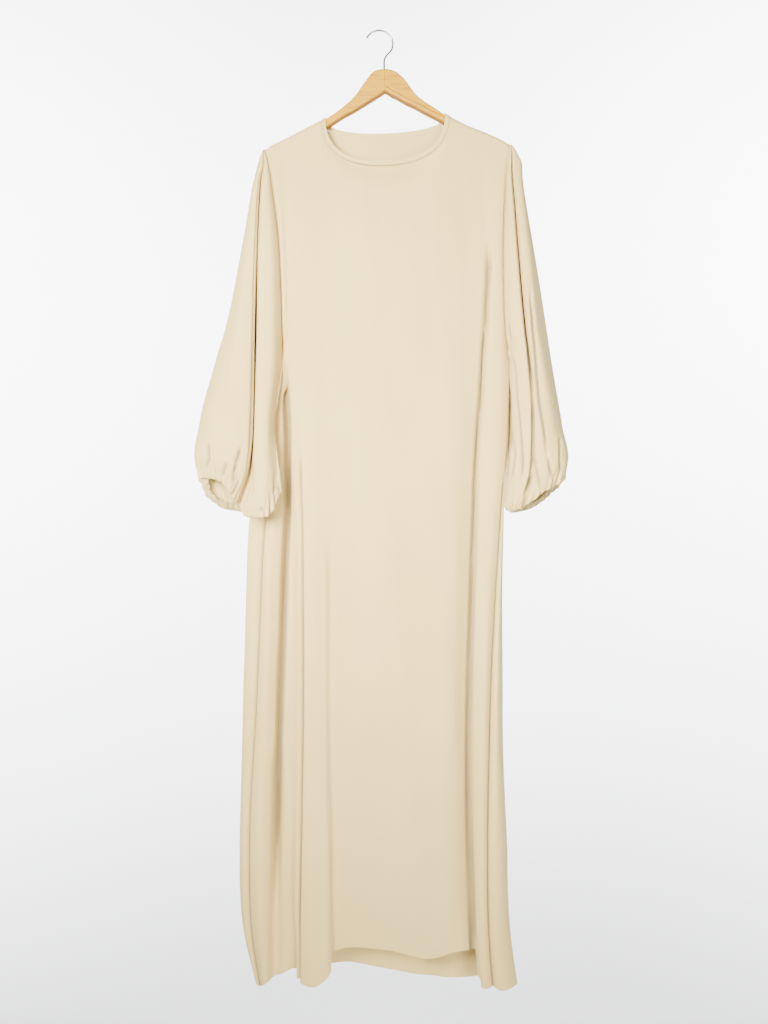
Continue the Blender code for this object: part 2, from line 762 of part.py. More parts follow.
def sleeve_walls(rows, normals, seed):
    """Outer and inner rows of a sleeve, whose last rows have twice the columns and are gathered."""
    plain = len(rows) - GATHERED_ROWS
    outer = list(rows[:plain])
    inner = list(rows[:plain] - CLOTH_WALL * normals[:plain])
    fine = doubled(rows[plain:])
    way = unit(doubled(normals[plain:]))
    waves = gather_waves(fine.shape[1], seed)[:, None]
    for k in range(GATHERED_ROWS):
        depth = GATHER_DEPTH * (k + 1) / GATHERED_ROWS
        row = fine[k] + way[k] * waves * depth
        outer.append(row)
        inner.append(row - CLOTH_WALL * way[k])
    return outer, inner


def make_casing(name, sleeve_outer, sleeve_inner, material):
    """Elastic casing: a gathered band that goes on from the sleeve's last row, drawn in a little."""
    edge = np.array(sleeve_outer[-1])
    above = np.array(sleeve_outer[-2])
    inside = np.array(sleeve_inner[-1])
    down = unit(edge - above)
    inward = unit(inside - edge)
    spare = (CASING_WALL - CLOTH_WALL) / 2
    outer = []
    inner = []
    for share, swell in ((0.0, 0.0), (0.5, 1.0), (1.0, 0.0)):
        place = edge + down * (CASING_GAP + CASING_WIDTH * share) + inward * share * CASING_TAPER
        outer.append(place - inward * spare * swell)
        inner.append(place + inward * (CLOTH_WALL + spare * swell))
    return wall_object(name, outer, inner, material, closed_from=0)


def make_sleeves(front, back, front_normals, back_normals, material):
    """Both sleeves and their elastic casings.

    Each sleeve is one cut of cloth. It is built as two simpler walls that meet at the elbow.
    """
    sewn = armhole_row()
    for side, folds, front_column, back_column, seed in (
        ("left", LEFT_SLEEVE_FOLDS, 0, -1, 0.1),
        ("right", RIGHT_SLEEVE_FOLDS, -1, 0, 0.6),
    ):
        rows = sleeve_rows(folds, front, front_column)
        join_front, join_back = 0, -1
        if side == "left":
            rows = rows[:, ::-1]
            join_front, join_back = -1, 0
        normals = normals_of(rows, closed_from=sewn)
        for join, panel, panel_normals, column in (
            (join_front, front, front_normals, front_column),
            (join_back, back, back_normals, back_column),
        ):
            rows[:sewn, join] = panel[1:sewn + 1, column]
            share_normals(normals[:sewn - 1, join], panel_normals[1:sewn, column])
            pull_edge(rows, join, SEAM_GAP, sewn - 1)
        normals[sewn - 1, [0, -1]] = unit(normals[sewn - 1, 0] + normals[sewn - 1, -1])
        outward = -1 if side == "left" else 1
        rows[sewn - 1, [0, -1]] += (outward * UNDERARM_GAP, 0, 0)
        outer, inner = sleeve_walls(rows, normals, seed)
        make_casing("cuff_" + side, outer, inner, material)
        elbow = sewn - 1 + SLEEVE_ROWS["elbow"]
        upper, lower = parted(outer, elbow)
        inner_upper, inner_lower = parted(inner, elbow)
        wall_object("sleeve_" + side + "_upper", upper, inner_upper, material, closed_from=sewn - 1)
        wall_object("sleeve_" + side + "_lower", lower, inner_lower, material, closed_from=0)


def make_binding(material):
    """Neck binding: a narrow band round the whole neck edge."""
    loops = []
    for depth, side, turn in (
        (FRONT_NECK_DEPTH, -1, neck_turn(np.linspace(0.0, 1.0, 41))),
        (BACK_NECK_DEPTH, 1, neck_turn(np.linspace(1.0, 0.0, 33))),
    ):
        fine = neck_turn(np.linspace(0, 1, 401))
        x, z = neck_edge(fine, depth)
        away_x, away_z = edge_directions(x, z)
        inner = np.stack([np.interp(turn, fine, x), np.interp(turn, fine, z)], axis=1)
        away = np.stack([np.interp(turn, fine, away_x), np.interp(turn, fine, away_z)], axis=1)
        rows = []
        for share in (0.0, 1.0):
            place = inner + away * BINDING_WIDTH * share
            on_top = np.minimum(place[:, 1], ridge(place[:, 0]))
            drop = ridge(place[:, 0]) - on_top
            flare = BINDING_FLARE * np.maximum(drop - BINDING_FLARE_DROP, 0)
            depth_y = side * (roll(place[:, 0], on_top) + BINDING_LIFT + flare)
            lift = BINDING_LIFT * (1 - np.clip(drop / SHOULDER_ROLL, 0, 1))
            rows.append(np.stack([place[:, 0], depth_y, on_top + lift], axis=1))
        loops.append(np.array(rows)[:, :-1])
    rows = np.concatenate(loops, axis=1)
    rows = np.concatenate([rows, rows[:, :1]], axis=1)
    normals = normals_of(rows, closed_from=0)
    wall_object("neck_binding", list(rows), list(rows - normals * CLOTH_WALL), material, closed_from=0)


def make_body(material):
    """Front and back panels, then the sleeves that are sewn to them.

    Each panel is one cut of cloth. It is built as two simpler walls that meet at the underarm's height.
    """
    front = panel_rows(FRONT_FOLDS, -1, FRONT_NECK_DEPTH)
    back = panel_rows(BACK_FOLDS, 1, BACK_NECK_DEPTH, seams=front)
    front_normals = normals_of(front)
    back_normals = normals_of(back)
    lean_over_hanger(front, front_normals, -1)
    lean_over_hanger(back, back_normals, 1)
    below = armhole_row()
    share_normals(front_normals[below:, 0], back_normals[below:, -1])
    share_normals(front_normals[below:, -1], back_normals[below:, 0])
    make_sleeves(front, back, front_normals, back_normals, material)
    for name, rows, normals in (("front", front, front_normals), ("back", back, back_normals)):
        pull_edge(rows, 0, SEAM_GAP / 2)
        pull_edge(rows, -1, SEAM_GAP / 2)
        upper, lower = parted(rows, below)
        inner_upper, inner_lower = parted(rows - normals * CLOTH_WALL, below)
        wall_object(name + "_upper", upper, inner_upper, material)
        wall_object(name + "_lower", lower, inner_lower, material)


def make_wood(material):
    """Flat wooden hanger with rounded edges and a bore for the hook's stem."""
    inner = np.linspace(WOOD_LEFT, WOOD_RIGHT, 27)
    xs = np.concatenate([[WOOD_LEFT - WOOD_END], inner, [WOOD_RIGHT + WOOD_END]])
    top = wood_top(xs)
    bottom = wood_bottom(xs)
    top[[0, -1]] -= WOOD_END
    bottom[[0, -1]] += WOOD_END
    half = WOOD_THICKNESS / 2
    steps = np.radians([0, 45, 90])
    rings = []
    for x, high, low in zip(xs, top, bottom):
        r = min(WOOD_CORNER, (high - low) / 2 - 0.5)
        ring = []
        corners = ((half - r, high - r), (r - half, high - r), (r - half, low + r), (half - r, low + r))
        for quarter, (cy, cz) in enumerate(corners):
            for a in steps + math.radians(90 * quarter):
                ring.append((x, cy + r * math.cos(a), cz + r * math.sin(a)))
        rings.append(ring)
    count = len(rings[0])
    points = [tuple(v * MM for v in p) for ring in rings for p in ring]
    faces = [tuple(reversed(range(count))), tuple(range(len(points) - count, len(points)))]
    for k in range(len(rings) - 1):
        for j in range(count):
            i = (j + 1) % count
            faces.append((k * count + j, k * count + i, (k + 1) * count + i, (k + 1) * count + j))
    mesh = bpy.data.meshes.new("hanger_wood")
    mesh.from_pydata(points, [], faces)
    wood = finish_mesh("hanger_wood", mesh, material)
    high = wood_top(STEM_X)[0]
    bpy.ops.mesh.primitive_cylinder_add(
        vertices=12,
        radius=(WIRE_RADIUS + BORE_CLEARANCE) * MM,
        depth=(STEM_BORE_DEPTH + BORE_OVERSHOOT) * MM,
        location=(STEM_X * MM, 0, (high + (BORE_OVERSHOOT - STEM_BORE_DEPTH) / 2) * MM),
    )
    cutter = bpy.context.object
    cutter.name = "bore_cutter"
    cutter.hide_render = True
    cutter.display_type = "WIRE"
    bore = wood.modifiers.new("stem bore", "BOOLEAN")
    bore.operation = "DIFFERENCE"
    bore.object = cutter


def make_hook(material):
    """Wire hook: a stem in the wood, a short neck and a round bend that opens to the left."""
    turns = np.radians(np.linspace(HOOK_TIP_ANGLE, HOOK_END_ANGLE, 19))
    centre_x, centre_z = HOOK_CENTRE
    path = [(centre_x + HOOK_RADIUS * math.cos(a), centre_z + HOOK_RADIUS * math.sin(a)) for a in turns]
    path += HOOK_BEND
    path.append((STEM_X, wood_top(STEM_X)[0] - STEM_BORE_DEPTH + STEM_FOOT_GAP))
    curve = bpy.data.curves.new("hanger_hook", "CURVE")
    curve.dimensions = "3D"
    curve.bevel_depth = WIRE_RADIUS * MM
    curve.bevel_resolution = 2
    curve.use_fill_caps = True
    line = curve.splines.new("POLY")
    line.points.add(len(path) - 1)
    for point, (x, z) in zip(line.points, path):
        point.co = (x * MM, 0.0, z * MM, 1.0)
    curve.materials.append(material)
    hook = bpy.data.objects.new("hanger_hook", curve)
    bpy.context.scene.collection.objects.link(hook)


def main():
    clear_scene()
    cloth = make_material("cream crepe", CREAM, 0.85)
    make_body(cloth)
    make_binding(cloth)
    make_wood(make_material("varnished wood", WOOD, 0.35))
    make_hook(make_material("bright wire", CHROME, 0.2, 1.0))


main()
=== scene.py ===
"""Dressed model of a long abaya on its wooden hanger: cloth, sewing, hanger finishes, light and camera.

Lengths in the tables and settings are in millimetres and the meshes are in metres. The origin is the inside
top of the hanger's hook, +Z is up and the garment's front faces -Y. A cloth piece is a grid of rows and
columns: a row lies at one height, and a smooth curve runs in it through the piece's fold lines.
"""

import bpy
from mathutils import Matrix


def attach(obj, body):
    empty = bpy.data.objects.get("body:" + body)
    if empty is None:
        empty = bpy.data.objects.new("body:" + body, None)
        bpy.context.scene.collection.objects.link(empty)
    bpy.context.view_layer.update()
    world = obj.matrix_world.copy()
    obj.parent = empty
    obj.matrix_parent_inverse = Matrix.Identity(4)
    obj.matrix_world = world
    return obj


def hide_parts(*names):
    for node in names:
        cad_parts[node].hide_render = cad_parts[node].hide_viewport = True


bl_info = {
    "name": "Abaya on a hanger",
    "version": (1, 0, 0),
    "blender": (4, 5, 0),
    "location": "3D View > Sidebar > Abaya",
    "description": "Cloth, sewing, hanger and studio of a long abaya that hangs on a wooden hanger",
    "category": "Object",
}

import collections

import bmesh
import bpy
import numpy as np
from mathutils import Vector

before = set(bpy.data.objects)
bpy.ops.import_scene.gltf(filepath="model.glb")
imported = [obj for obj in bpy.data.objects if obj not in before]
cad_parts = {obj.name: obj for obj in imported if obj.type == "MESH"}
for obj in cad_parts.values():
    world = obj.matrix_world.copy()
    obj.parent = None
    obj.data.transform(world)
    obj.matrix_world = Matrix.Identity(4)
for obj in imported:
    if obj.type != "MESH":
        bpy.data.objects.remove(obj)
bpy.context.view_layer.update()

MM = 0.001
TINY = 1e-9
SHARP_ANGLE = 60.0

# Shoulders and neck, seen from the front
TIP_LEFT = -195.0
TIP_RIGHT = 219.0
NECK_LEFT = -93.0
NECK_RIGHT = 110.0
FRONT_NECK_DEPTH = 80.0
BACK_NECK_DEPTH = 27.0
NECK_POWER = 2.4
SHOULDER_ROLL = 9.0
NECK_POINTS = 801
BINDING_WIDTH = 7.0
BINDING_GAP = 0.5
BINDING_LIFT = 0.3
BINDING_BULGE = 0.15
BINDING_ROUNDNESS = 0.5
BINDING_THINNEST = 0.6
BINDING_ROWS = 9
FRONT_BINDING_COLUMNS = 241
BACK_BINDING_COLUMNS = 181
BINDING_FLARE = 0.045
BINDING_FLARE_DROP = 20.0

# Between the cloth's outer face and the wood: the solids' cloth and a clearance
SOLID_WALL = 1.5
WOOD_CLEARANCE = 1.2

# Heights of the named levels. Below the last one each fold line runs on to the hem at a height of its own.
LEVELS = {
    "yoke": -273.0,
    "chest": -371.0,
    "scye": -512.0,
    "underarm": -545.0,
    "elbow": -677.0,
    "hip": -847.0,
    "thigh": -1136.0,
    "shin": -1391.0,
}
HEM_LEVEL = -1600.0
FLARE_POWER = 2.0

# Line over the shoulders, from the left tip to the right one, and the wood's height beneath it. The line
# is the outer face of the cloth, and between the neck points it goes on as far above the bare wood.
SHOULDER_LINE = (
    # x, line, wood height
    (-205.0, -208.0, 14.0),
    (-195.0, -201.5, 14.5),
    (-184.0, -193.8, 15.5),
    (-158.6, -181.4, 16.8),
    (-124.6, -163.4, 17.8),
    (-91.0, -145.8, 18.4),
    (-63.4, -126.2, 20.6),
    (-44.7, -109.2, 27.5),
    (-26.0, -83.7, 41.5),
    (-12.0, -66.7, 49.8),
    (0.0, -62.1, 47.0),
    (8.0, -61.6, 42.4),
    (22.0, -64.2, 47.4),
    (38.0, -75.7, 44.4),
    (62.4, -106.7, 25.5),
    (93.8, -129.0, 19.7),
    (110.0, -139.5, 17.7),
    (144.0, -158.0, 16.2),
    (179.7, -172.6, 15.7),
    (206.0, -184.6, 14.7),
    (219.0, -192.5, 14.0),
)

Fold = collections.namedtuple("Fold", "cells top hem x y")
SleeveFold = collections.namedtuple("SleeveFold", "cells cuff x y")

# Fold lines of the front panel, from the left side seam to the right one: cells to the next line, place
# along the top edge, height of the hem, and x and then y at the yoke, chest, scye, underarm, elbow, hip,
# thigh, shin and hem. The place along the top edge is 0 to 1 on the left shoulder, 1 to 2 round the neck
# and 2 to 3 on the right shoulder.
FRONT_FOLDS = {
    "side seam left": Fold(2, 0.0, -1620, (-182, -171, -166, -165, -179, -197, -210, -222, -204),
                           (-12, -12, -11, -2, -6, -10, -12, -13, -12)),
    "lobe A": Fold(2, 0.12, -1612, (-175, -165, -160, -161, -169, -184, -195, -203, -194),
                   (-14, -16, -16, -13, -15, -19, -24, -26, -27)),
    "valley L2": Fold(2, 0.28, -1602, (-165, -158, -157, -158, -157, -160, -170, -176, -177),
                      (-14, -15, -14, -14, -13, -11, -13, -17, -20)),
    "bank L2": Fold(2, 0.42, -1582, (-156, -150, -149, -149, -149, -148, -152, -152, -137),
                    (-15, -18, -20, -20, -19, -16, -19, -23, -25)),
    "edge L3": Fold(3, 0.6, -1599, (-140, -139, -137, -136, -134, -132, -132, -137, -140),
                    (-17, -21, -25, -26, -29, -32, -36, -39, -42)),
    "lobe B": Fold(3, 0.8, -1609, (-120, -118, -117, -116, -115, -114, -113, -113, -112),
                   (-18, -24, -28, -29, -32, -36, -41, -47, -56)),
    "edge L4": Fold(3, 1.0, -1586, (-103, -101, -100, -100, -99, -97, -92, -84, -82),
                    (-18, -24, -28, -28, -31, -35, -40, -44, -48)),
    "valley L4": Fold(3, 1.12, -1562, (-90, -88, -86, -86, -84, -82, -76, -77, -86),
                      (-18, -24, -27, -27, -30, -34, -37, -37, -36)),
    "centre left": Fold(3, 1.27, -1545, (-52, -52, -52, -52, -51, -50, -46, -46, -48),
                        (-19, -24, -28, -28, -30, -34, -37, -40, -42)),
    "centre": Fold(3, 1.5, -1549, (8, 8, 8, 8, 8, 8, 8, 8, 8),
                   (-20, -26, -30, -31, -33, -37, -41, -44, -46)),
    "centre right": Fold(5, 1.75, -1564, (78, 80, 82, 82, 83, 84, 84, 84, 84),
                         (-19, -25, -29, -30, -32, -35, -39, -42, -44)),
    "soft fold R": Fold(3, 2.0, -1553, (120, 122, 124, 124, 124, 124, 122, 126, 134),
                        (-17, -22, -26, -27, -29, -32, -37, -39, -38)),
    "valley R1": Fold(2, 2.42, -1555, (174, 180, 180, 178, 172, 160, 149, 150, 159),
                      (-13, -15, -17, -17, -17, -19, -20, -21, -26)),
    "edge C": Fold(2, 2.62, -1608, (187, 191, 192, 190, 185, 171, 160, 161, 165),
                   (-14, -17, -18, -18, -21, -25, -30, -34, -42)),
    "lobe C": Fold(2, 2.85, -1614, (201, 202, 204, 207, 202, 189, 175, 172, 177),
                   (-14, -16, -16, -14, -20, -28, -36, -40, -48)),
    "side seam right": Fold(0, 3.0, -1612, (212, 209, 212, 217, 214, 203, 186, 181, 189),
                            (-12, -12, -11, -2, -9, -20, -28, -32, -38)),
}

# Fold lines of the back panel, from the right side seam round the back to the left one
BACK_FOLDS = {
    "side seam right": Fold(2, 3.0, -1612, (212, 209, 212, 217, 214, 203, 186, 181, 189),
                            (12, 12, 11, -2, -9, -20, -28, -32, -38)),
    "lobe D": Fold(2, 2.95, -1618, (209, 206, 210, 215, 213.5, 207, 197, 195, 203),
                   (12, 13, 12, 4, -3, -17, -31, -37, -45)),
    "edge D": Fold(2, 2.88, -1612, (203, 200, 205, 210, 210, 207, 208, 216, 232),
                   (13, 14, 14, 11, 6, -3, -9, -12, -18)),
    "back D": Fold(2, 2.75, -1614, (194, 193, 196, 198, 199, 200, 200, 206, 214),
                   (14, 16, 17, 17, 16, 14, 13, 12, 8)),
    "back right": Fold(2, 2.5, -1614, (176, 176, 176, 176, 176, 174, 172, 172, 176),
                       (15, 18, 21, 22, 23, 25, 27, 28, 30)),
    "back fold right": Fold(4, 2.0, -1612, (132, 132, 131, 131, 130, 128, 124, 122, 124),
                            (15, 18, 19, 19, 19, 18, 17, 16, 15)),
    "back centre right": Fold(3, 1.8, -1612, (72, 72, 72, 72, 71, 70, 70, 70, 72),
                              (16, 20, 23, 23, 25, 27, 29, 31, 34)),
    "back centre": Fold(3, 1.5, -1598, (8, 8, 8, 8, 8, 8, 6, 6, 4),
                        (16, 19, 21, 21, 21, 22, 22, 22, 23)),
    "back centre left": Fold(4, 1.2, -1590, (-56, -56, -56, -56, -57, -58, -60, -62, -62),
                             (16, 20, 23, 23, 25, 27, 29, 31, 33)),
    "back fold left": Fold(2, 1.0, -1594, (-112, -112, -110, -110, -111, -114, -118, -122, -120),
                           (15, 18, 19, 19, 19, 18, 16, 15, 14)),
    "back left": Fold(2, 0.45, -1604, (-152, -148, -146, -146, -153, -170, -180, -186, -176),
                      (15, 18, 21, 22, 23, 25, 26, 27, 28)),
    "back A": Fold(2, 0.22, -1612, (-168, -160, -156, -157, -174, -204, -216, -224, -206),
                   (14, 16, 17, 17, 16, 13, 12, 11, 7)),
    "edge A": Fold(2, 0.12, -1610, (-174, -164, -159, -161, -187, -224, -233, -238, -212),
                   (13, 14, 14, 11, 7, 0, -1, -2, -3)),
    "lobe A back": Fold(2, 0.05, -1617, (-179, -168, -163, -163, -184, -212, -224, -232, -210),
                        (12, 13, 12, 4, -1, -9, -11, -12, -10)),
    "side seam left": Fold(0, 0.0, -1620, (-182, -171, -166, -165, -179, -197, -210, -222, -204),
                           (12, 12, 11, -2, -6, -10, -12, -13, -12)),
}

# Fold lines of the sleeves, from the front of the armhole round the outer edge to its back: cells to the
# next line, height of the sleeve's end, and x and then y at the cap, yoke, chest, scye, underarm, elbow,
# wrist and cuff.
CAP_HEIGHT = -225.0
WRIST_HEIGHT = -738.0
CUFF_HEIGHT = -790.0
CAP_POWER = 0.75
CAP_GAP = 2.2
UNDERARM_GAP = 0.6
LEFT_SLEEVE_FOLDS = {
    "armhole front": SleeveFold(3, -781, (-191, -182, -171, -166, -165, -176.5, -170, -165.5),
                                (-10, -12, -12, -11, -2, -38, -48, -50)),
    "inner lobe": SleeveFold(3, -823, (-195, -190, -184, -181, -180, -188, -187, -191),
                             (-14, -21, -28, -36, -38, -62, -67, -66)),
    "valley right bank": SleeveFold(3, -823, (-198, -201, -204, -206, -206, -208, -209, -220),
                                    (-12, -19, -26, -33, -37, -58, -62, -61)),
    "main valley": SleeveFold(3, -801, (-199, -204, -209, -211.5, -212, -213.5, -219, -239),
                              (-9, -9, -8, -12, -14, -36, -44, -47)),
    "valley left bank": SleeveFold(3, -795, (-201, -206, -210, -212, -213, -214, -220, -242),
                                   (-12, -19, -27, -36, -40, -62, -66, -64)),
    "outer lobe": SleeveFold(3, -763, (-205, -214, -222, -238, -244, -264, -268, -266),
                             (-12, -19, -27, -38, -42, -66, -68, -61)),
    "outer front": SleeveFold(3, -758, (-208, -217, -231, -252, -260, -290, -298, -292),
                              (-7, -12, -18, -26, -30, -52, -54, -49)),
    "outer edge": SleeveFold(3, -758, (-210, -219, -236, -265, -275, -306, -313, -305),
                             (0, 0, -1, -3, -4, -26, -34, -36)),
    "outer back": SleeveFold(3, -789, (-207, -215, -230, -253, -262, -294, -300, -292),
                             (7, 11, 15, 14, 12, -6, -17, -22)),
    "back crest": SleeveFold(3, -809, (-203, -208, -216, -232, -238, -262, -266, -262),
                             (10, 16, 20, 20, 18, -2, -12, -17)),
    "back valley": SleeveFold(3, -814, (-199, -200, -202, -208, -211, -224, -228, -230),
                              (10, 14, 16, 14, 10, -12, -20, -23)),
    "back inner": SleeveFold(3, -820, (-195, -190, -184, -182, -182, -194, -195, -194),
                             (10, 14, 17, 16, 12, -22, -30, -34)),
    "armhole back": SleeveFold(0, -781, (-191, -182, -171, -166, -165, -176.5, -170, -165.5),
                               (10, 12, 12, 11, -2, -38, -48, -50)),
}
RIGHT_SLEEVE_FOLDS = {
    "armhole front": SleeveFold(3, -800, (213, 212, 209, 212, 217, 214.5, 209, 207),
                                (-10, -12, -12, -11, -2, 6, -14, -22)),
    "inner lobe": SleeveFold(3, -812, (217, 217, 220, 226, 230, 232, 228, 219),
                             (-14, -20, -26, -30, -28, -32, -36, -37)),
    "valley right bank": SleeveFold(3, -809, (219, 223, 229, 241, 244.5, 252, 250, 232),
                                    (-14, -20, -27, -34, -36, -43, -45, -43)),
    "main valley": SleeveFold(3, -806, (220.5, 226, 233.5, 245, 248.5, 256.5, 254, 237),
                              (-6, -7, -12, -20, -23, -36, -40, -39)),
    "valley left bank": SleeveFold(3, -802, (223, 228, 236, 248, 252, 261, 260, 244),
                                   (-12, -17, -23, -31, -33, -40, -43, -41)),
    "outer lobe": SleeveFold(3, -778, (231, 237, 248, 262, 267, 285, 290, 280),
                             (-11, -17, -24, -33, -36, -42, -44, -39)),
    "outer front": SleeveFold(3, -766, (237, 243, 256, 274, 280, 302, 312, 304),
                              (-8, -12, -16, -20, -22, -27, -29, -26)),
    "outer edge": SleeveFold(3, -759, (240, 246, 262, 284, 289, 311, 319, 313),
                             (0, 0, 0, 0, 0, -2, -6, -7)),
    "outer back": SleeveFold(3, -773, (238, 243, 255, 274, 279, 301, 310, 304),
                             (8, 11, 14, 17, 18, 20, 17, 11)),
    "back crest": SleeveFold(3, -793, (232, 236, 246, 259, 264, 282, 287, 282),
                             (11, 15, 19, 23, 24, 28, 26, 19)),
    "back valley": SleeveFold(3, -810, (224, 227, 234, 243, 248, 257, 258, 252),
                              (10, 13, 14, 15, 16, 20, 18, 13)),
    "back inner": SleeveFold(3, -815, (217, 217, 220, 224, 229, 235, 233, 225),
                             (10, 13, 16, 16, 14, 22, 15, 8)),
    "armhole back": SleeveFold(0, -800, (213, 212, 209, 212, 217, 214.5, 209, 207),
                               (10, 12, 12, 11, -2, 6, -14, -22)),
}

# Grid of the cloth: columns for each cell of a fold table, and height of a row
PANEL_FINENESS = 5
SLEEVE_FINENESS = 8
ROW_STEP = 7.0
SLEEVE_ROW_STEP = 4.0
TOP_ROWS = 30
TOP_SPREAD_POWER = 1.5

# Seams: how far the cloth sinks beside one, over what width, and the gap that the needle line leaves
SEAM_GAP = 0.12
SEAM_SINK = 3.6
SEAM_WIDTH = 1.7
UNDERARM_CALM = 14.0
SHOULDER_CALM = 60.0
HEM_HEIGHT = 18.0
HEM_FOLD = 1.0
HEM_SINK = 0.35
HEM_SINK_WIDTH = 1.6
HEM_FOLD_EDGE = 2.5

# Soft troughs and ridges on the cloth: side (-1 for the front and 1 for the back), width, depth, lip and
# line. Depth is how far the cloth comes out on the line, and lip how far it comes out on the line's right
# and goes in on its left. The line holds places (x, z) from top to bottom.
Crease = collections.namedtuple("Crease", "side width depth lip line")

BODY_CREASES = {
    "left valley": Crease(-1, 4.0, -21.0, 0.0, (
        (-164, -548), (-162, -592), (-159, -635), (-157, -677), (-157, -740), (-158, -830), (-161, -898),
        (-165, -1020), (-169, -1136), (-172, -1250), (-174, -1350), (-175, -1420), (-176, -1520),
    )),
    "left valley, low": Crease(-1, 8.0, -9.0, 0.0, (
        (-172, -1200), (-174, -1337), (-176, -1453), (-176, -1560), (-177, -1800),
    )),
    "left fold edge": Crease(-1, 2.6, -13.0, 1.6, (
        (-136, -700), (-135, -764), (-133, -849), (-132, -992), (-132, -1136), (-134, -1300),
        (-137, -1453), (-138, -1600), (-138, -1800),
    )),
    "left inner fold": Crease(-1, 7.5, -1.6, -2.2, (
        (-88, -860), (-87, -1000), (-87, -1136), (-86, -1260), (-84, -1337), (-82, -1453), (-82, -1555),
        (-82, -1800),
    )),
    "right soft fold": Crease(-1, 10.0, -1.0, 1.6, (
        (126, -1180), (130, -1330), (134, -1451), (134, -1567),
    )),
    "right valley": Crease(-1, 3.7, -12.5, 3.4, (
        (183, -350), (184, -397), (181, -455), (179, -507), (176, -540), (172, -615), (168, -666),
        (162, -764), (159, -849), (157, -898), (154, -992), (150, -1136), (149, -1221), (150, -1337),
        (153, -1453), (158, -1567), (163, -1610), (166, -1800),
    )),
    "left chest drag": Crease(-1, 14.0, -1.0, 0.0, (
        (-172, -300), (-150, -370), (-141, -430), (-138, -500),
    )),
    "right chest drag": Crease(-1, 13.0, -1.0, 0.0, ((196, -250), (188, -300), (184, -360), (182, -420))),
    "back left fold": Crease(1, 8.0, -3.0, 1.2, (
        (-118, -240), (-110, -420), (-111, -700), (-116, -1000), (-120, -1350), (-120, -1590),
    )),
    "back right fold": Crease(1, 8.0, -3.0, -1.2, (
        (134, -240), (131, -420), (130, -700), (126, -1000), (122, -1350), (124, -1600),
    )),
    "back centre fold": Crease(1, 14.0, -1.6, 0.0, (
        (10, -420), (9, -700), (8, -1000), (7, -1350), (5, -1590),
    )),
    "back left drag": Crease(1, 16.0, -1.2, 0.0, ((-160, -300), (-140, -380), (-122, -470), (-114, -560))),
    "back right drag": Crease(1, 16.0, -1.2, 0.0, ((190, -290), (168, -380), (146, -470), (134, -560))),
}

LEFT_SLEEVE_CREASES = {
    "main valley": Crease(-1, 2.4, -5.0, 0.0, (
        (-200, -228), (-204, -273), (-208.8, -371), (-211, -470), (-212, -545), (-213.5, -677),
        (-217, -730), (-226, -768), (-238, -796),
    )),
    "soft line": Crease(-1, 5.0, 0.7, 0.5, ((-199, -250), (-199, -315), (-199, -385), (-199, -470))),
    "small crease": Crease(-1, 2.6, -5.5, 1.6, ((-286, -700), (-286, -716), (-286, -732), (-294, -746))),
    "forearm soft": Crease(-1, 9.0, -1.3, 0.4, ((-250, -500), (-256, -560), (-262, -610), (-264, -660))),
    "cuff fold a": Crease(-1, 2.6, -7.0, 2.0, (
        (-229, -706), (-232, -718), (-238, -736), (-242, -753), (-245, -766), (-254, -774),
    )),
    "cuff fold b": Crease(-1, 2.4, -5.5, 1.6, ((-236, -752), (-243, -770), (-252, -784))),
    "cuff fold c": Crease(-1, 2.4, -5.5, 1.6, ((-233, -762), (-240, -779), (-248, -792))),
    "cuff fold d": Crease(-1, 2.6, -5.0, 1.6, ((-254, -735), (-257, -746), (-262, -760))),
    "inner lobe line": Crease(-1, 4.0, -1.6, 0.8, (
        (-210, -728), (-211, -745), (-211, -775), (-212, -806),
    )),
    "inner lobe edge": Crease(-1, 3.5, -1.8, -0.8, (
        (-172, -690), (-172, -732), (-174, -762), (-180, -799),
    )),
    "inner lobe pinch": Crease(-1, 2.4, -5.5, 1.6, (
        (-212, -812), (-204, -810), (-196, -812), (-190, -820),
    )),
    "back soft a": Crease(1, 8.0, -2.0, 0.0, ((-232, -380), (-240, -480), (-246, -580), (-250, -690))),
    "back soft b": Crease(1, 7.0, -1.6, 0.8, ((-270, -560), (-278, -640), (-280, -720))),
    "back cuff a": Crease(1, 3.5, -2.4, 1.0, ((-246, -720), (-243, -750), (-248, -785))),
    "back cuff b": Crease(1, 3.5, -2.0, -0.8, ((-224, -705), (-222, -735), (-226, -780))),
}

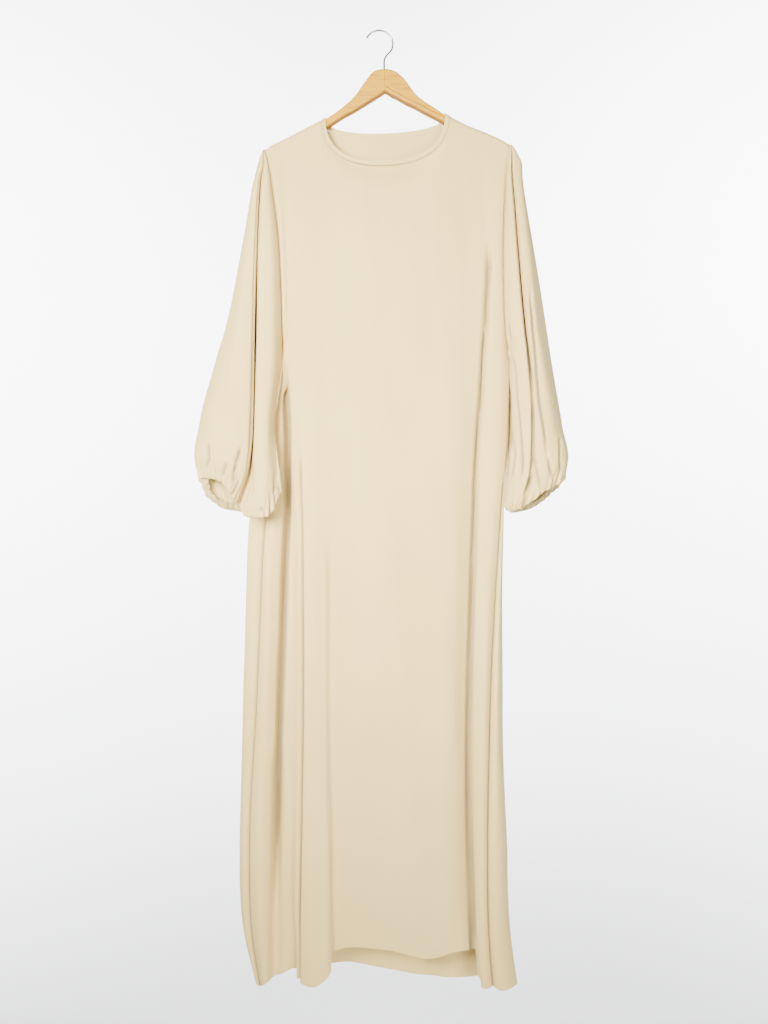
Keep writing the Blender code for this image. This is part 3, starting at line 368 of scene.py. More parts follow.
RIGHT_SLEEVE_CREASES = {
    "main valley": Crease(-1, 2.4, -5.0, 0.0, (
        (220.5, -228), (226, -273), (230.5, -337), (235.5, -400), (240, -456), (246.5, -524), (253, -592),
        (256, -650),
    )),
    "slot": Crease(-1, 2.6, -10.0, 0.0, ((217, -590), (218, -640), (218, -680), (214, -728), (211, -775))),
    "underarm pinch": Crease(-1, 2.4, -5.0, 0.0, (
        (215, -500), (216, -508), (217, -517), (218.5, -526), (220, -535),
    )),
    "low main line": Crease(-1, 2.4, -4.0, 1.6, (
        (256, -620), (256.5, -677), (254.5, -738), (248, -772), (240, -795),
    )),
    "second fold": Crease(-1, 2.8, -7.0, 2.8, (
        (254, -430), (254.5, -456), (257, -500), (259.6, -541), (266, -626), (276, -686), (280, -728),
        (281, -745),
    )),
    "inner lobe a": Crease(-1, 2.6, -6.5, 2.0, (
        (218, -520), (219, -541), (225.6, -575), (229, -626), (234, -677), (237.5, -728), (236.5, -754),
        (231, -785),
    )),
    "inner lobe b": Crease(-1, 2.6, -6.0, 1.6, (
        (220, -670), (223, -700), (225, -722), (222, -745), (217, -770),
    )),
    "cuff fold a": Crease(-1, 2.6, -5.5, 1.6, ((257, -720), (259, -740), (266, -762), (270, -782))),
    "cuff fold b": Crease(-1, 2.6, -5.5, 1.6, ((303, -690), (303, -711), (303, -735), (306, -752))),
    "cuff fold c": Crease(-1, 2.6, -5.0, -1.4, ((281, -722), (284, -745), (292, -762))),
    "cuff fold d": Crease(-1, 2.4, -5.5, 1.6, ((254, -752), (248, -772), (240, -790))),
    "back soft a": Crease(1, 8.0, -2.0, 0.8, ((240, -330), (246, -440), (254, -560), (262, -680))),
    "back soft b": Crease(1, 7.0, -1.8, 0.0, ((282, -470), (290, -580), (294, -690))),
    "back cuff a": Crease(1, 3.5, -2.4, 1.0, ((246, -690), (248, -730), (244, -775))),
    "back cuff b": Crease(1, 3.5, -2.0, -0.8, ((270, -700), (276, -735), (272, -775))),
}

# Points between two places of a line, the reach of a crease in widths, how steeply it fades towards cloth
# that faces aside, and the reach and gain of its lip
CURVE_CELLS = 6
CREASE_REACH = 3
FACING_GAIN = 2
LIP_REACH = 2
LIP_GAIN = 1.6

# A crease fades in over a share of its length, which is never above the first length, and fades out
CREASE_FADE = 60.0
FADE_IN = 0.18
FADE_OUT = 0.2

# Painted shade: narrow creases and seams, the cuffs' rolled ends and their casings are coloured a little
# darker in their depth, stored as an attribute of the cloth
CLOTH_PAINTED_SHADE = "crease_shade"
NARROW_CREASE = 5.0
FULL_SHADE_DEPTH = 6.0
FULL_SHADE_WIDTH = 2.6
SEAM_SHADE = 0.8
ARMHOLE_SHADE = 0.25
ROLL_SHADE = 0.55
PUCKER_SHADE = 0.5

# Uneven hang: long soft waves, as size, wavelength across, wavelength down and phase
WAVE_TURN_DEPTH = 20.0
HANG_WAVES = (
    (0.5, 130.0, 1400.0, 0.3),
    (0.3, 71.0, 900.0, 2.1),
    (0.15, 37.0, 520.0, 4.0),
    (0.3, 150.0, 260.0, 1.2),
)

# Gathers at a cuff: fine ones that end soon and coarse ones that reach up the sleeve
FINE_GATHERS = 34
FINE_GATHER_REACH = 20.0
COARSE_GATHERS = 13
COARSE_GATHER_REACH = 38.0
GATHER_SWING = 1.7
GATHER_ROUNDNESS = 0.75
GATHER_FADE_POWER = 1.4
FINE_UNEVEN_WAVES = 5
COARSE_UNEVEN_WAVES = 3
FINE_WOBBLE = 0.6
COARSE_WOBBLE = 1

# Sines that shift the gathers, and sines that vary their reach: size, waves round the sleeve and how many
# seeds the sine starts at. The waves of a reach come on top of the gathers' own uneven waves.
GATHER_SHIFTS = ((0.3, 3, 1), (0.17, 7, 2))
REACH_CHANGES = ((0.45, 0, 3), (0.2, 4, 1))

# Slow drift of the gathers up the sleeve, their end that rolls in, and the casing inside it
DRIFT = 0.35
DRIFT_LENGTH = 38.0
DRIFT_START = 60.0
CUFF_ROLL = 3.5
CUFF_ROLL_TURN = 165.0
CUFF_ROLL_ROWS = 8
CASING_WIDTH = 11.0
CASING_ROWS = 9
CASING_PUCKERS = 36
CASING_PUCKER_HEIGHT = 3.0
CASING_SWELL = 0.5
CASING_WOBBLE = 0.4
CASING_WOBBLE_WAVES = 4
CASING_ROUNDNESS = 0.6

# How far the body reaches out behind the sleeves below the underarm, so that no gap shows there
TUCK_LEFT = 7.0
TUCK_RIGHT = 3.5
TUCK_REACH = 12.0
TUCK_DROP = 25.0
TUCK_FADE = 60.0

# Creases of each sleeve, place where its gathers' pattern starts, and width of the painted shade near the
# body
SLEEVE_LOOKS = {"left": (LEFT_SLEEVE_CREASES, 0.13, 4.5), "right": (RIGHT_SLEEVE_CREASES, 0.61, 16.0)}
CUFF_STITCH_ROW = 4

# Sections of a stitch: their places along it, their sizes, the number of their corners, and how many radii
# of the thread it rises in its middle and lies in the cloth
STITCH_PLACES = np.array([0.0, 0.12, 0.5, 0.88, 1.0])
STITCH_TAPER = np.array([0.6, 1.0, 1.0, 1.0, 0.6])
STITCH_CORNERS = 5
STITCH_RISE = 1.3
STITCH_SINK = 0.5
NECK_STITCH_PLACES = (0.86, 0.87)
NECK_STITCH_LIFT = 0.55

# Thread end that hangs from the hem's left corner
LOOSE_END = (
    (-206.0, -13.0, -1610.0),
    (-205.5, -14.5, -1617.0),
    (-202.5, -15.5, -1623.0),
    (-204.5, -15.0, -1627.0),
    (-203.0, -14.0, -1631.0),
)
LOOSE_END_RADIUS = 0.35
LOOSE_END_CELLS = 8
LOOSE_END_CORNERS = 8

# Hanger
WIRE_RADIUS = 1.6
HOOK_CENTRE = (-2.0, -21.6)
HOOK_RADIUS = 23.2
HOOK_TIP_ANGLE = 157.0
HOOK_END_ANGLE = -26.0
ARC_POINTS = 25
WIRE_RINGS = 170
WIRE_CORNERS = 24
TIP_RINGS = 7
TIP_START = 0.05
AFTER_TIP = 0.2
END_CLOSING = 0.98
HOOK_BEND = ((14.2, -37.6), (9.6, -42.2), (7.2, -47.5), (6.6, -53.0), (6.6, -62.0))
STEM_X = 6.6
STEM_DEPTH = 21.5
WOOD_LEFT = -184.0
WOOD_RIGHT = 202.0
WOOD_END = 5.0
WOOD_THICKNESS = 12.0
WOOD_BEVEL = 2.6
BAR_RINGS = 150
END_RINGS = 8
END_POINT = 0.0004
JOINT_REACH = 2.0
JOINT_RINGS = 17
CORNER_POINTS = 9
FACE_POINTS = 32
CORNER_SHARE = 0.9
END_SHARE = 0.45
GROOVE_DEPTH = 0.7
GROOVE_WIDTH = 0.6
# Painted shade on the bar: darker along its lower edge and in the groove along the right arm
EDGE_SHADE = "edge_stain"
EDGE_SHADE_HEIGHT = 6.5
LINE_HEIGHT = 12.0
LINE_DEPTH = 0.9
LINE_WIDTH = 0.8
LINE_START = 2.0
LINE_SHADE = 0.8
LINE_SHADE_WIDTH = 0.9
EDGE_SHADE_FADE = 2.5
JOINT_X = 8.0

# Cloth that shows, laid flat: width and length in metres and area in square metres
FRONT_CUT, FRONT_AREA = (0.63, 1.46), 0.66
BACK_CUT, BACK_AREA = (0.58, 1.48), 0.71
SLEEVE_CUTS = {"left": ((0.54, 0.64), 0.17), "right": ((0.45, 0.64), 0.136)}

# Middle of the camera's view
VIEW_CENTRE = (6.3, -817.0)

# Backdrop
COVE_FLOOR = -2150.0
COVE_BACK = 3000.0
COVE_BEND = 1500.0
COVE_HALF_WIDTH = 8000.0
COVE_FRONT = -9000.0
COVE_TOP = 4200.0
COVE_STEPS = 40

# Lights: name, setting of the power, size, place and aim in metres, and spread in degrees
LIGHTS = (
    ("key light", "key_power", (1.3, 1.1), (-0.95, -2.05, -0.25), (-0.04, 0.0, -0.62), 52.0),
    ("fill light", "fill_power", (1.6, 1.0), (1.2, -2.6, -1.5), (0.0, 0.0, -1.4), 110.0),
    ("left backdrop light", "backdrop_power", (0.8, 2.2), (-1.7, 0.4, 0.0), (-1.7, 3.0, 0.1), 120.0),
    ("right backdrop light", "backdrop_power", (0.8, 2.2), (1.7, 0.4, 0.2), (1.7, 3.0, 0.3), 120.0),
)
ROOM_COLOUR = (0.94, 0.97, 1.0, 1.0)


class ClothSettings(bpy.types.PropertyGroup):
    """Cloth of the garment."""

    thickness: bpy.props.FloatProperty(
        name="Thickness", description="Thickness of one layer of cloth, in mm",
        default=1.2, min=0.4, max=1.5,
    )
    creases: bpy.props.FloatProperty(
        name="Creases", description="Strength of the small folds and soft waves",
        default=1.0, min=0.0, max=2.0, subtype="FACTOR",
    )
    fine_depth: bpy.props.FloatProperty(
        name="Fine gathers", description="Height of the fine gathers at the cuffs, in mm",
        default=2.7, min=0.0, max=4.0,
    )
    coarse_depth: bpy.props.FloatProperty(
        name="Coarse gathers", description="Height of the long gathers above the cuffs, in mm",
        default=2.0, min=0.0, max=5.0,
    )
    colour: bpy.props.FloatVectorProperty(
        name="Colour", description="Main colour of the crepe",
        default=(0.62, 0.45, 0.155), size=3, min=0.0, max=1.0, subtype="COLOR",
    )
    shade: bpy.props.FloatVectorProperty(
        name="Shade", description="Deeper colour that mottles the crepe",
        default=(0.58, 0.415, 0.137), size=3, min=0.0, max=1.0, subtype="COLOR",
    )
    # Painted shade: colour mixed into the crepe deep in narrow creases, beside seams and in the cuffs
    painted_shade_colour: bpy.props.FloatVectorProperty(
        name="Crease shade colour", description="Colour of the crepe deep in a narrow crease",
        default=(0.27, 0.222, 0.118), size=3, min=0.0, max=1.0, subtype="COLOR",
    )
    roughness: bpy.props.FloatProperty(
        name="Roughness", description="Roughness of the crepe",
        default=0.82, min=0.0, max=1.0, subtype="FACTOR",
    )


class SewingSettings(bpy.types.PropertyGroup):
    """Stitches."""

    length: bpy.props.FloatProperty(
        name="Stitch", description="Length of a stitch, in mm",
        default=2.6, min=1.0, max=6.0,
    )
    gap: bpy.props.FloatProperty(
        name="Gap", description="Gap between two stitches, in mm",
        default=0.7, min=0.2, max=3.0,
    )
    radius: bpy.props.FloatProperty(
        name="Thread", description="Radius of the thread, in mm",
        default=0.22, min=0.1, max=0.5,
    )
    colour: bpy.props.FloatVectorProperty(
        name="Colour", description="Colour of the thread",
        default=(0.70, 0.60, 0.44), size=3, min=0.0, max=1.0, subtype="COLOR",
    )


class HangerSettings(bpy.types.PropertyGroup):
    """Wooden hanger and its wire hook."""

    light_wood: bpy.props.FloatVectorProperty(
        name="Light wood", description="Colour of the early wood",
        default=(0.55, 0.27, 0.004), size=3, min=0.0, max=1.0, subtype="COLOR",
    )
    dark_wood: bpy.props.FloatVectorProperty(
        name="Dark wood", description="Colour of the grain lines",
        default=(0.26, 0.105, 0.004), size=3, min=0.0, max=1.0, subtype="COLOR",
    )
    wire: bpy.props.FloatVectorProperty(
        name="Wire", description="Colour of the bright wire",
        default=(0.40, 0.405, 0.41), size=3, min=0.0, max=1.0, subtype="COLOR",
    )
    edge_radius: bpy.props.FloatProperty(
        name="Edge", description="Radius of the wood's rounded edges, in mm",
        default=3.5, min=1.0, max=5.5,
    )


class StudioSettings(bpy.types.PropertyGroup):
    """Floor, light and camera."""

    distance: bpy.props.FloatProperty(
        name="Camera distance", description="From the camera to the hanger's plane",
        default=2.7, min=1.0, max=10.0, unit="LENGTH",
    )
    view_height: bpy.props.FloatProperty(
        name="View height", description="Height that the camera sees in the hanger's plane",
        default=1.7408, min=0.5, max=4.0, unit="LENGTH",
    )
    key_power: bpy.props.FloatProperty(
        name="Key light", description="Power of the main light, in W",
        default=38.0, min=0.0, max=2000.0,
    )
    fill_power: bpy.props.FloatProperty(
        name="Fill light", description="Power of the fill light, in W",
        default=36.0, min=0.0, max=2000.0,
    )
    backdrop_power: bpy.props.FloatProperty(
        name="Backdrop lights", description="Power of each light on the backdrop, in W",
        default=320.0, min=0.0, max=2000.0,
    )
    world: bpy.props.FloatProperty(
        name="Room light", description="Strength of the even light from the room",
        default=0.62, min=0.0, max=5.0,
    )
    backdrop: bpy.props.FloatVectorProperty(
        name="Backdrop", description="Colour of the floor and backdrop",
        default=(0.90, 0.91, 0.92), size=3, min=0.0, max=1.0, subtype="COLOR",
    )


def unit(vectors):
    """Vectors of length 1 that point the same way, along the last axis."""
    return vectors / np.maximum(np.linalg.norm(vectors, axis=-1, keepdims=True), TINY)


def smooth(share):
    """Rises from 0 to 1 with level ends: 3 t squared less 2 t cubed, held outside."""
    share = np.clip(share, 0, 1)
    return share * share * (3 - 2 * share)


def bell(distance, width):
    """Soft bump: e to the power of minus the square of distance over width."""
    return np.exp(-(distance / width) ** 2)


def cubic(share, start, end, leave, reach):
    """Cubic from start to end as share goes from 0 to 1, with given directions at both ends."""
    along = start * (2 * share**3 - 3 * share**2 + 1) + end * (3 * share**2 - 2 * share**3)
    return along + leave * (share**3 - 2 * share**2 + share) + reach * (share**3 - share**2)


def eased(places, values, at):
    """Smooth curve through values at rising places, read at other places, with no overshoot.

    Each stretch is a cubic whose end slopes are the harmonic mean of the slopes beside it.
    """
    places = np.asarray(places, float)
    values = np.asarray(values, float)
    steps = np.diff(places)
    slopes = np.diff(values, axis=0) / steps.reshape((-1,) + (1,) * (values.ndim - 1))
    before, after = slopes[:-1], slopes[1:]
    total = np.where(before + after == 0, 1, before + after)
    mean = np.where(before * after > 0, 2 * before * after / total, 0)
    slopes = np.concatenate([slopes[:1], mean, slopes[-1:]])
    at = np.clip(np.asarray(at, float), places[0], places[-1])
    k = np.clip(np.searchsorted(places, at, side="right") - 1, 0, len(steps) - 1)
    wide = (slice(None),) + (None,) * (values.ndim - 1)
    step = steps[k][wide]
    share = ((at - places[k]) / steps[k])[wide]
    return cubic(share, values[k], values[k + 1], step * slopes[k], step * slopes[k + 1])


def through(stations, cells):
    """Curve through stations (station, row, axis), as (row, column, axis) with cells between stations.

    Between two stations it is a cubic whose end directions halve the turn from chord to chord.
    """
    ends = [2 * stations[:1] - stations[1:2], stations, 2 * stations[-1:] - stations[-2:-1]]
    places = np.concatenate(ends)[:, :, None]
    stretches = []
    for k, count in enumerate(cells[:-1]):
        before, start, end, after = places[k:k + 4]
        chord = np.linalg.norm(end - start, axis=-1, keepdims=True)
        leave = chord * (unit(start - before) + unit(end - start)) / 2
        reach = chord * (unit(after - end) + unit(end - start)) / 2
        share = (np.arange(count) / count)[None, :, None]
        stretches.append(cubic(share, start, end, leave, reach))
    stretches.append(places[-2])
    return np.concatenate(stretches, axis=1)


def run_lengths(places):
    """Length along a line of places up to each of them."""
    return np.concatenate([[0], np.cumsum(np.linalg.norm(np.diff(places, axis=0), axis=1))])


def read_along(at, lengths, values):
    """Values at a line's places, read at other lengths along the line."""
    return np.stack([np.interp(at, lengths, column) for column in values.T], axis=-1)


def spread(values, cells):
    """Values at the stations, read at each column between them."""
    places = np.concatenate([[0], np.cumsum(cells[:-1])])
    return np.interp(np.arange(places[-1] + 1), places, values)


def curved(values, cells):
    """Values at the stations, read at each column between them from a smooth curve with no overshoot."""
    places = np.concatenate([[0], np.cumsum(cells[:-1])])
    return eased(places, values, np.arange(places[-1] + 1))


def cuff_edge(values, cells):
    """Heights of a sleeve's end: a smooth curve, with a quarter sine beside the armhole's line."""
    heights = curved(values, cells)
    for first, second, count, part in (
        (values[0], values[1], cells[0], slice(None, cells[0] + 1)),
        (values[-1], values[-2], cells[-2], slice(None, -cells[-2] - 2, -1)),
    ):
        heights[part] = first + (second - first) * np.sin(np.pi / 2 * np.arange(count + 1) / count)
    return heights


def ridge(x):
    """Height of the cloth's outer face where it lies over the top of the hanger."""
    table = np.array(SHOULDER_LINE)
    return eased(table[:, 0], table[:, 1], np.ravel(x)).reshape(np.shape(x))


def roll(x, z):
    """Half depth of the cloth at height z where it comes down over the hanger, as a quarter circle."""
    drop = np.clip((ridge(x) - z) / SHOULDER_ROLL, 0, 1)
    return SHOULDER_ROLL * np.sqrt(1 - (1 - drop) ** 2)


def neck_edge(turn, depth):
    """Place (x, z) on the neck edge, a superellipse. Turn is 0 at the left neck point and 1 at the right."""
    angle = np.pi * np.asarray(turn, float)
    across = np.sign(np.cos(angle)) * np.abs(np.cos(angle)) ** (2 / NECK_POWER)
    down = np.abs(np.sin(angle)) ** (2 / NECK_POWER)
    x = (NECK_LEFT + NECK_RIGHT) / 2 - (NECK_RIGHT - NECK_LEFT) / 2 * across
    level = ridge(np.array([NECK_LEFT, NECK_RIGHT]))
    return x, np.interp(x, (NECK_LEFT, NECK_RIGHT), level) - depth * down


def neck_turn(share):
    """Share of the neck's half turn, closer spaced near the neck points, where the edge is steep."""
    return (1 - np.cos(np.pi * np.asarray(share, float))) / 2


def neck_line(turn, depth, away):
    """Neck edge moved out of the opening by away, square to itself, read at each turn."""
    fine = neck_turn(np.linspace(0, 1, NECK_POINTS))
    x, z = neck_edge(fine, depth)
    dx, dz = np.gradient(x), np.gradient(z)
    size = np.hypot(dx, dz)
    return np.interp(turn, fine, x + dz / size * away), np.interp(turn, fine, z - dx / size * away)


def top_edge(places, depth):
    """Place (x, z) of a panel's top edge: shoulder, neck with the binding's width left free, shoulder."""
    places = np.asarray(places, float)
    neck_x, neck_z = neck_line(neck_turn(np.clip(places - 1, 0, 1)), depth, BINDING_WIDTH + BINDING_GAP)
    left = TIP_LEFT + (neck_x - TIP_LEFT) * np.clip(places, 0, 1)
    right = neck_x + (TIP_RIGHT - neck_x) * np.clip(places - 2, 0, 1)
    x = np.where(places < 1, left, np.where(places > 2, right, neck_x))
    on_shoulder = (places <= 1) | (places >= 2)
    return x, np.where(on_shoulder, ridge(x), np.minimum(neck_z, ridge(x)))


def level_heights():
    """Heights of a panel's rows from the yoke to the hem, and the row numbers of the levels and the hem."""
    heights = list(LEVELS.values()) + [HEM_LEVEL]
    rows = [heights[0]]
    numbers = {"yoke": TOP_ROWS}
    for name, high, low in zip(list(LEVELS)[1:] + ["hem"], heights[:-1], heights[1:]):
        count = max(1, round((high - low) / ROW_STEP))
        rows += list(high + (low - high) * np.arange(1, count + 1) / count)
        numbers[name] = TOP_ROWS + len(rows) - 1
    return np.array(rows), numbers


def fold_stations(folds, heights, wanted):
    """Places (x, y) of the fold lines at the wanted heights, from their places at the levels' heights."""
    columns = []
    for axis in ("x", "y"):
        places = np.array([getattr(fold, axis) for fold in folds.values()], float)
        columns.append(eased(-heights, places.T, -wanted).T)
    return np.stack(columns, axis=2)


def hung_rows(stations, cells, wanted, last, end):
    """Rows at the wanted heights, the last ones spread evenly down to the heights of the piece's own end."""
    plan = through(stations, cells)
    rows = np.empty(plan.shape[:2] + (3,))
    rows[..., :2] = plan
    rows[..., 2] = wanted[:, None]
    share = np.arange(last + 1)[:, None] / last
    rows[-last - 1:, :, 2] = wanted[-last - 1] + share * (end - wanted[-last - 1])
    return rows


def panel_rows(folds, side, depth, seams=None):
    """Outer face of a body panel as (row, column, axis). Side is -1 for the front and 1 for the back.

    Below the yoke, each fold line is a smooth curve through its places at the levels. Above it, the cloth
    goes up to the top edge along a quarter circle over the hanger. Below the armholes, the back panel's
    edges run along the seams of the front panel.
    """
    cells = [fold.cells * PANEL_FINENESS for fold in folds.values()]
    top_x, top_z = top_edge(spread([fold.top for fold in folds.values()], cells), depth)
    hem = curved([fold.hem for fold in folds.values()], cells)
    heights = np.array(list(LEVELS.values()) + [HEM_LEVEL])
    wanted, numbers = level_heights()
    last = numbers["hem"] - numbers["shin"]
    share = np.arange(last + 1) / last
    flare = wanted.copy()
    flare[-last - 1:] = wanted[-last - 1] + share**FLARE_POWER * (heights[-1] - wanted[-last - 1])
    stations = fold_stations(folds, heights, flare)
    if seams is not None:
        sewn = numbers["underarm"] - TOP_ROWS
        stations[0, sewn:] = seams[TOP_ROWS + sewn:, -1, :2]
        stations[-1, sewn:] = seams[TOP_ROWS + sewn:, 0, :2]
    rows = hung_rows(stations, cells, wanted, last, hem)
    step = (np.arange(TOP_ROWS)[:, None] / TOP_ROWS) ** 2
    blend = smooth(step)
    at_x = top_x + (rows[0, :, 0] - top_x) * (1 - (1 - step) ** TOP_SPREAD_POWER)
    at_z = top_z + (rows[0, :, 2] - top_z) * step
    at_y = side * np.maximum(roll(at_x, at_z), SEAM_GAP / 2) * (1 - blend) + rows[0, :, 1] * blend
    return np.concatenate([np.stack([at_x, at_y, at_z], axis=2), rows])


def sleeve_rows(folds, panel, column):
    """Outer face of a sleeve. Its upper rows lie at the heights of the armhole edge's points.

    Each fold line is a smooth curve through its places at the levels, and the cap is rounded from the
    shoulder tip down.
    """
    sewn = level_heights()[1]["underarm"]
    cells = [fold.cells * SLEEVE_FINENESS for fold in folds.values()]
    edge = panel[1:sewn + 1, column]
    upper = [LEVELS[name] for name in ("yoke", "chest", "scye", "underarm", "elbow")]
    heights = np.array([CAP_HEIGHT, *upper, WRIST_HEIGHT, CUFF_HEIGHT])
    cuff = cuff_edge([fold.cuff for fold in folds.values()], cells)
    above = round((LEVELS["underarm"] - LEVELS["elbow"]) / SLEEVE_ROW_STEP)
    last = round((LEVELS["elbow"] - CUFF_HEIGHT) / SLEEVE_ROW_STEP)
    upper_arm = np.linspace(LEVELS["underarm"], LEVELS["elbow"], above + 1)[1:]
    forearm = np.linspace(LEVELS["elbow"], CUFF_HEIGHT, last + 1)[1:]
    wanted = np.concatenate([edge[:, 2], upper_arm, forearm])
    stations = fold_stations(folds, heights, wanted)
    shape_cap(stations, wanted, edge, panel[0, column, 2])
    return hung_rows(stations, cells, wanted, last, cuff)


def shape_cap(stations, heights, edge, tip):
    """Round the sleeve's cap from the shoulder tip down, starting at the armhole edge."""
    count = len(edge)
    high = heights[:count]
    start = stations[0, :count, 0].copy()
    near = np.clip((high - LEVELS["yoke"]) / (CAP_HEIGHT - LEVELS["yoke"]), 0, 1)
    below_tip = np.clip((tip - high) / (tip - CAP_HEIGHT), 0, 1)
    outward = np.sign(stations[:, :count, 0].mean(axis=0) - start)
    armhole = start + near * (edge[:, 0] - start)
    stations[:, :count, 0] = armhole + (stations[:, :count, 0] - start) * below_tip**CAP_POWER
    stations[1:-1, :count, 0] += outward * CAP_GAP * (1 - below_tip)
    shrink = np.minimum(1.0, np.abs(edge[:, 1]) / np.abs(stations[0, :count, 1]))
    stations[:, :count, 1] *= np.where(high > CAP_HEIGHT, shrink, 1.0)


def normals_of(rows, closed_from=None):
    """Outward unit normals of a face: the cross product of its directions down and across a row.

    From row closed_from on, a row is a closed ring.
    """
    along = np.gradient(rows, axis=0)
    across = np.gradient(rows, axis=1)
    if closed_from is not None:
        seam = rows[closed_from:, 1] - rows[closed_from:, -2]
        across[closed_from:, 0] = seam
        across[closed_from:, -1] = seam
    return unit(np.cross(along, across))


def lean_over_hanger(rows, normals, side):
    """Give the points near a panel's top edge the normals of the quarter circle over the hanger."""
    height = np.clip((ridge(rows[..., 0]) - rows[..., 2]) / SHOULDER_ROLL, 0, 1)
    turn = 1 - height
    round_one = np.stack([0 * turn, side * np.sqrt(1 - turn**2), turn], axis=-1)
    near = smooth(1 - height)[..., None]
    normals[:] = unit(normals * (1 - near) + round_one * near)


def crease_offset(points, normals, crease):
    """How far a crease moves each point along its normal.

    On the crease's line it is depth, and it falls off to each side as a bell. Lip times the signed distance
    over width, under the same bell, makes one side stand over the other. Both fade in and out at the ends.
    """
    line = np.array(crease.line, float)
    smooth_line = through(line[:, None], [CURVE_CELLS] * (len(line) - 1) + [0])[0]
    place = points[..., ::2]
    reach = CREASE_REACH * crease.width
    low, high = smooth_line.min(axis=0) - reach, smooth_line.max(axis=0) + reach
    facing = smooth(crease.side * normals[..., 1] * FACING_GAIN)
    near = np.all((place > low) & (place < high), axis=-1) & (facing > 0)
    offset = np.zeros(points.shape[:-1])
    spot = place[near]
    if not len(spot):
        return offset
    steps = np.diff(smooth_line, axis=0)
    lengths = np.linalg.norm(steps, axis=1)
    starts = np.concatenate([[0], np.cumsum(lengths)])
    best = np.full(len(spot), np.inf)
    signed = np.zeros(len(spot))
    along = np.zeros(len(spot))
    for k, (step, length) in enumerate(zip(steps, lengths)):
        away = spot - smooth_line[k]
        share = np.clip(away @ step / length**2, 0, 1)
        gap = away - share[:, None] * step
        distance = np.linalg.norm(gap, axis=1)
        closer = distance < best
        best = np.where(closer, distance, best)
        signed = np.where(closer, (away[:, 0] * -step[1] + away[:, 1] * step[0]) / length, signed)
        along = np.where(closer, starts[k] + share * length, along)
    total = starts[-1]
    fade = smooth(along / min(FADE_IN * total, CREASE_FADE)) * smooth((total - along) / (FADE_OUT * total))
    lean = np.clip(signed / crease.width, -LIP_REACH, LIP_REACH) * LIP_GAIN
    shape = crease.depth + crease.lip * lean
    offset[near] = shape * bell(best, crease.width) * fade
    return offset * facing


def hang_waves(points):
    """Sum of long soft sine waves over x and z, which makes the cloth hang unevenly, as it does in life."""
    total = np.zeros(points.shape[:-1])
    for size, across, down, phase in HANG_WAVES:
        waves = points[..., 0] / across + points[..., 2] / down
        total += size * np.sin(2 * np.pi * waves + phase + points[..., 1] / WAVE_TURN_DEPTH)
    return total


def ruffle(rows, normals, creases, strength):
    """Rows with creases and soft waves added along the normals, quiet near the shoulders, and their painted
    shade.

    The painted shade is largest where the cloth lies deepest in a narrow crease, and falls off as the square
    of the crease's own form.
    """
    offset = hang_waves(rows)
    shade = np.zeros(rows.shape[:-1])
    for crease in creases.values():
        moved = crease_offset(rows, normals, crease)
        offset = offset + moved
        if crease.width < NARROW_CREASE and crease.depth < 0:
            full = min(1.0, -crease.depth / FULL_SHADE_DEPTH) * min(1.0, FULL_SHADE_WIDTH / crease.width)
            shade = np.maximum(shade, full * np.clip(moved / crease.depth, 0, 1) ** 2)
    calm = smooth((ridge(rows[..., 0]) - rows[..., 2]) / SHOULDER_CALM)
    return rows + normals * (offset * calm * strength)[..., None], shade


def from_edge(rows, column):
    """Distance of each point from an edge column, along its row."""
    steps = np.linalg.norm(np.diff(rows, axis=1), axis=2)
    along = np.concatenate([np.zeros((len(rows), 1)), np.cumsum(steps, axis=1)], axis=1)
    return along if column == 0 else along[:, -1:] - along


def sink_seam(rows, normals, column, part=slice(None)):
    """Let the cloth dip towards a seam at an edge column, and leave the needle's gap beside it.

    It dips less near the underarm and the shoulder.
    """
    calm = smooth(np.abs(rows[part, :, 2] - LEVELS["underarm"]) / UNDERARM_CALM)
    calm = calm * smooth((ridge(rows[part, :, 0]) - rows[part, :, 2]) / SHOULDER_CALM)
    dip = SEAM_SINK * bell(from_edge(rows[part], column), SEAM_WIDTH) * calm
    rows[part] -= normals[part] * dip[..., None]
    beside = 1 if column == 0 else -2
    rows[part, column] += unit(rows[part, beside] - rows[part, column]) * SEAM_GAP


def shade_seam(shade, rows, column, low_width=SEAM_WIDTH):
    """Paint shade on the cloth beside a seam at an edge column, darker below the underarm and over another
    width there.
    """
    below = smooth((LEVELS["underarm"] - rows[..., 2]) / UNDERARM_CALM)
    depth = ARMHOLE_SHADE + (SEAM_SHADE - ARMHOLE_SHADE) * below
    width = SEAM_WIDTH + (low_width - SEAM_WIDTH) * below
    np.maximum(shade, depth * bell(from_edge(rows, column), width), out=shade)


def grid_ids(shape, closed_from, start=0):
    """Number of each point of a grid. In the rows from closed_from on, the last point is the first one."""
    ids = start + np.arange(shape[0] * shape[1]).reshape(shape[:2])
    if closed_from is not None:
        ids[closed_from:, -1] = ids[closed_from:, 0]
    return ids


def quads(ids):
    """Faces between the points of a grid of numbers, as (face, corner)."""
    return np.stack([ids[1:, :-1], ids[1:, 1:], ids[:-1, 1:], ids[:-1, :-1]], axis=-1).reshape(-1, 4)


def shell_object(name, outer, inner, material, closed_from=None, shade=None):
    """Closed thin shell between two grids: both faces, the rims at the first and last rows, and the sides.

    Shade holds the painted shade of each point of the outer face, stored as an attribute.
    """
    out = grid_ids(outer.shape, closed_from)
    back = grid_ids(outer.shape, closed_from, start=out.size)
    faces = [quads(out), quads(back)[:, ::-1]]
    faces.append(quads(np.stack([back[0], out[0]])))
    faces.append(quads(np.stack([out[-1], back[-1]])))
    free = len(out) - 1 if closed_from is None else closed_from
    if free:
        faces.append(quads(np.stack([out[:free + 1, 0], back[:free + 1, 0]])[:, ::-1]))
        faces.append(quads(np.stack([out[:free + 1, -1], back[:free + 1, -1]])))
    faces = np.concatenate(faces)
    piece = mesh_object(name, np.concatenate([outer.reshape(-1, 3), inner.reshape(-1, 3)]), faces, material)
    if shade is not None:
        values = np.concatenate([shade.ravel(), np.zeros(out.size)])
        store_attribute(piece, CLOTH_PAINTED_SHADE, values[np.unique(faces)])
    return piece


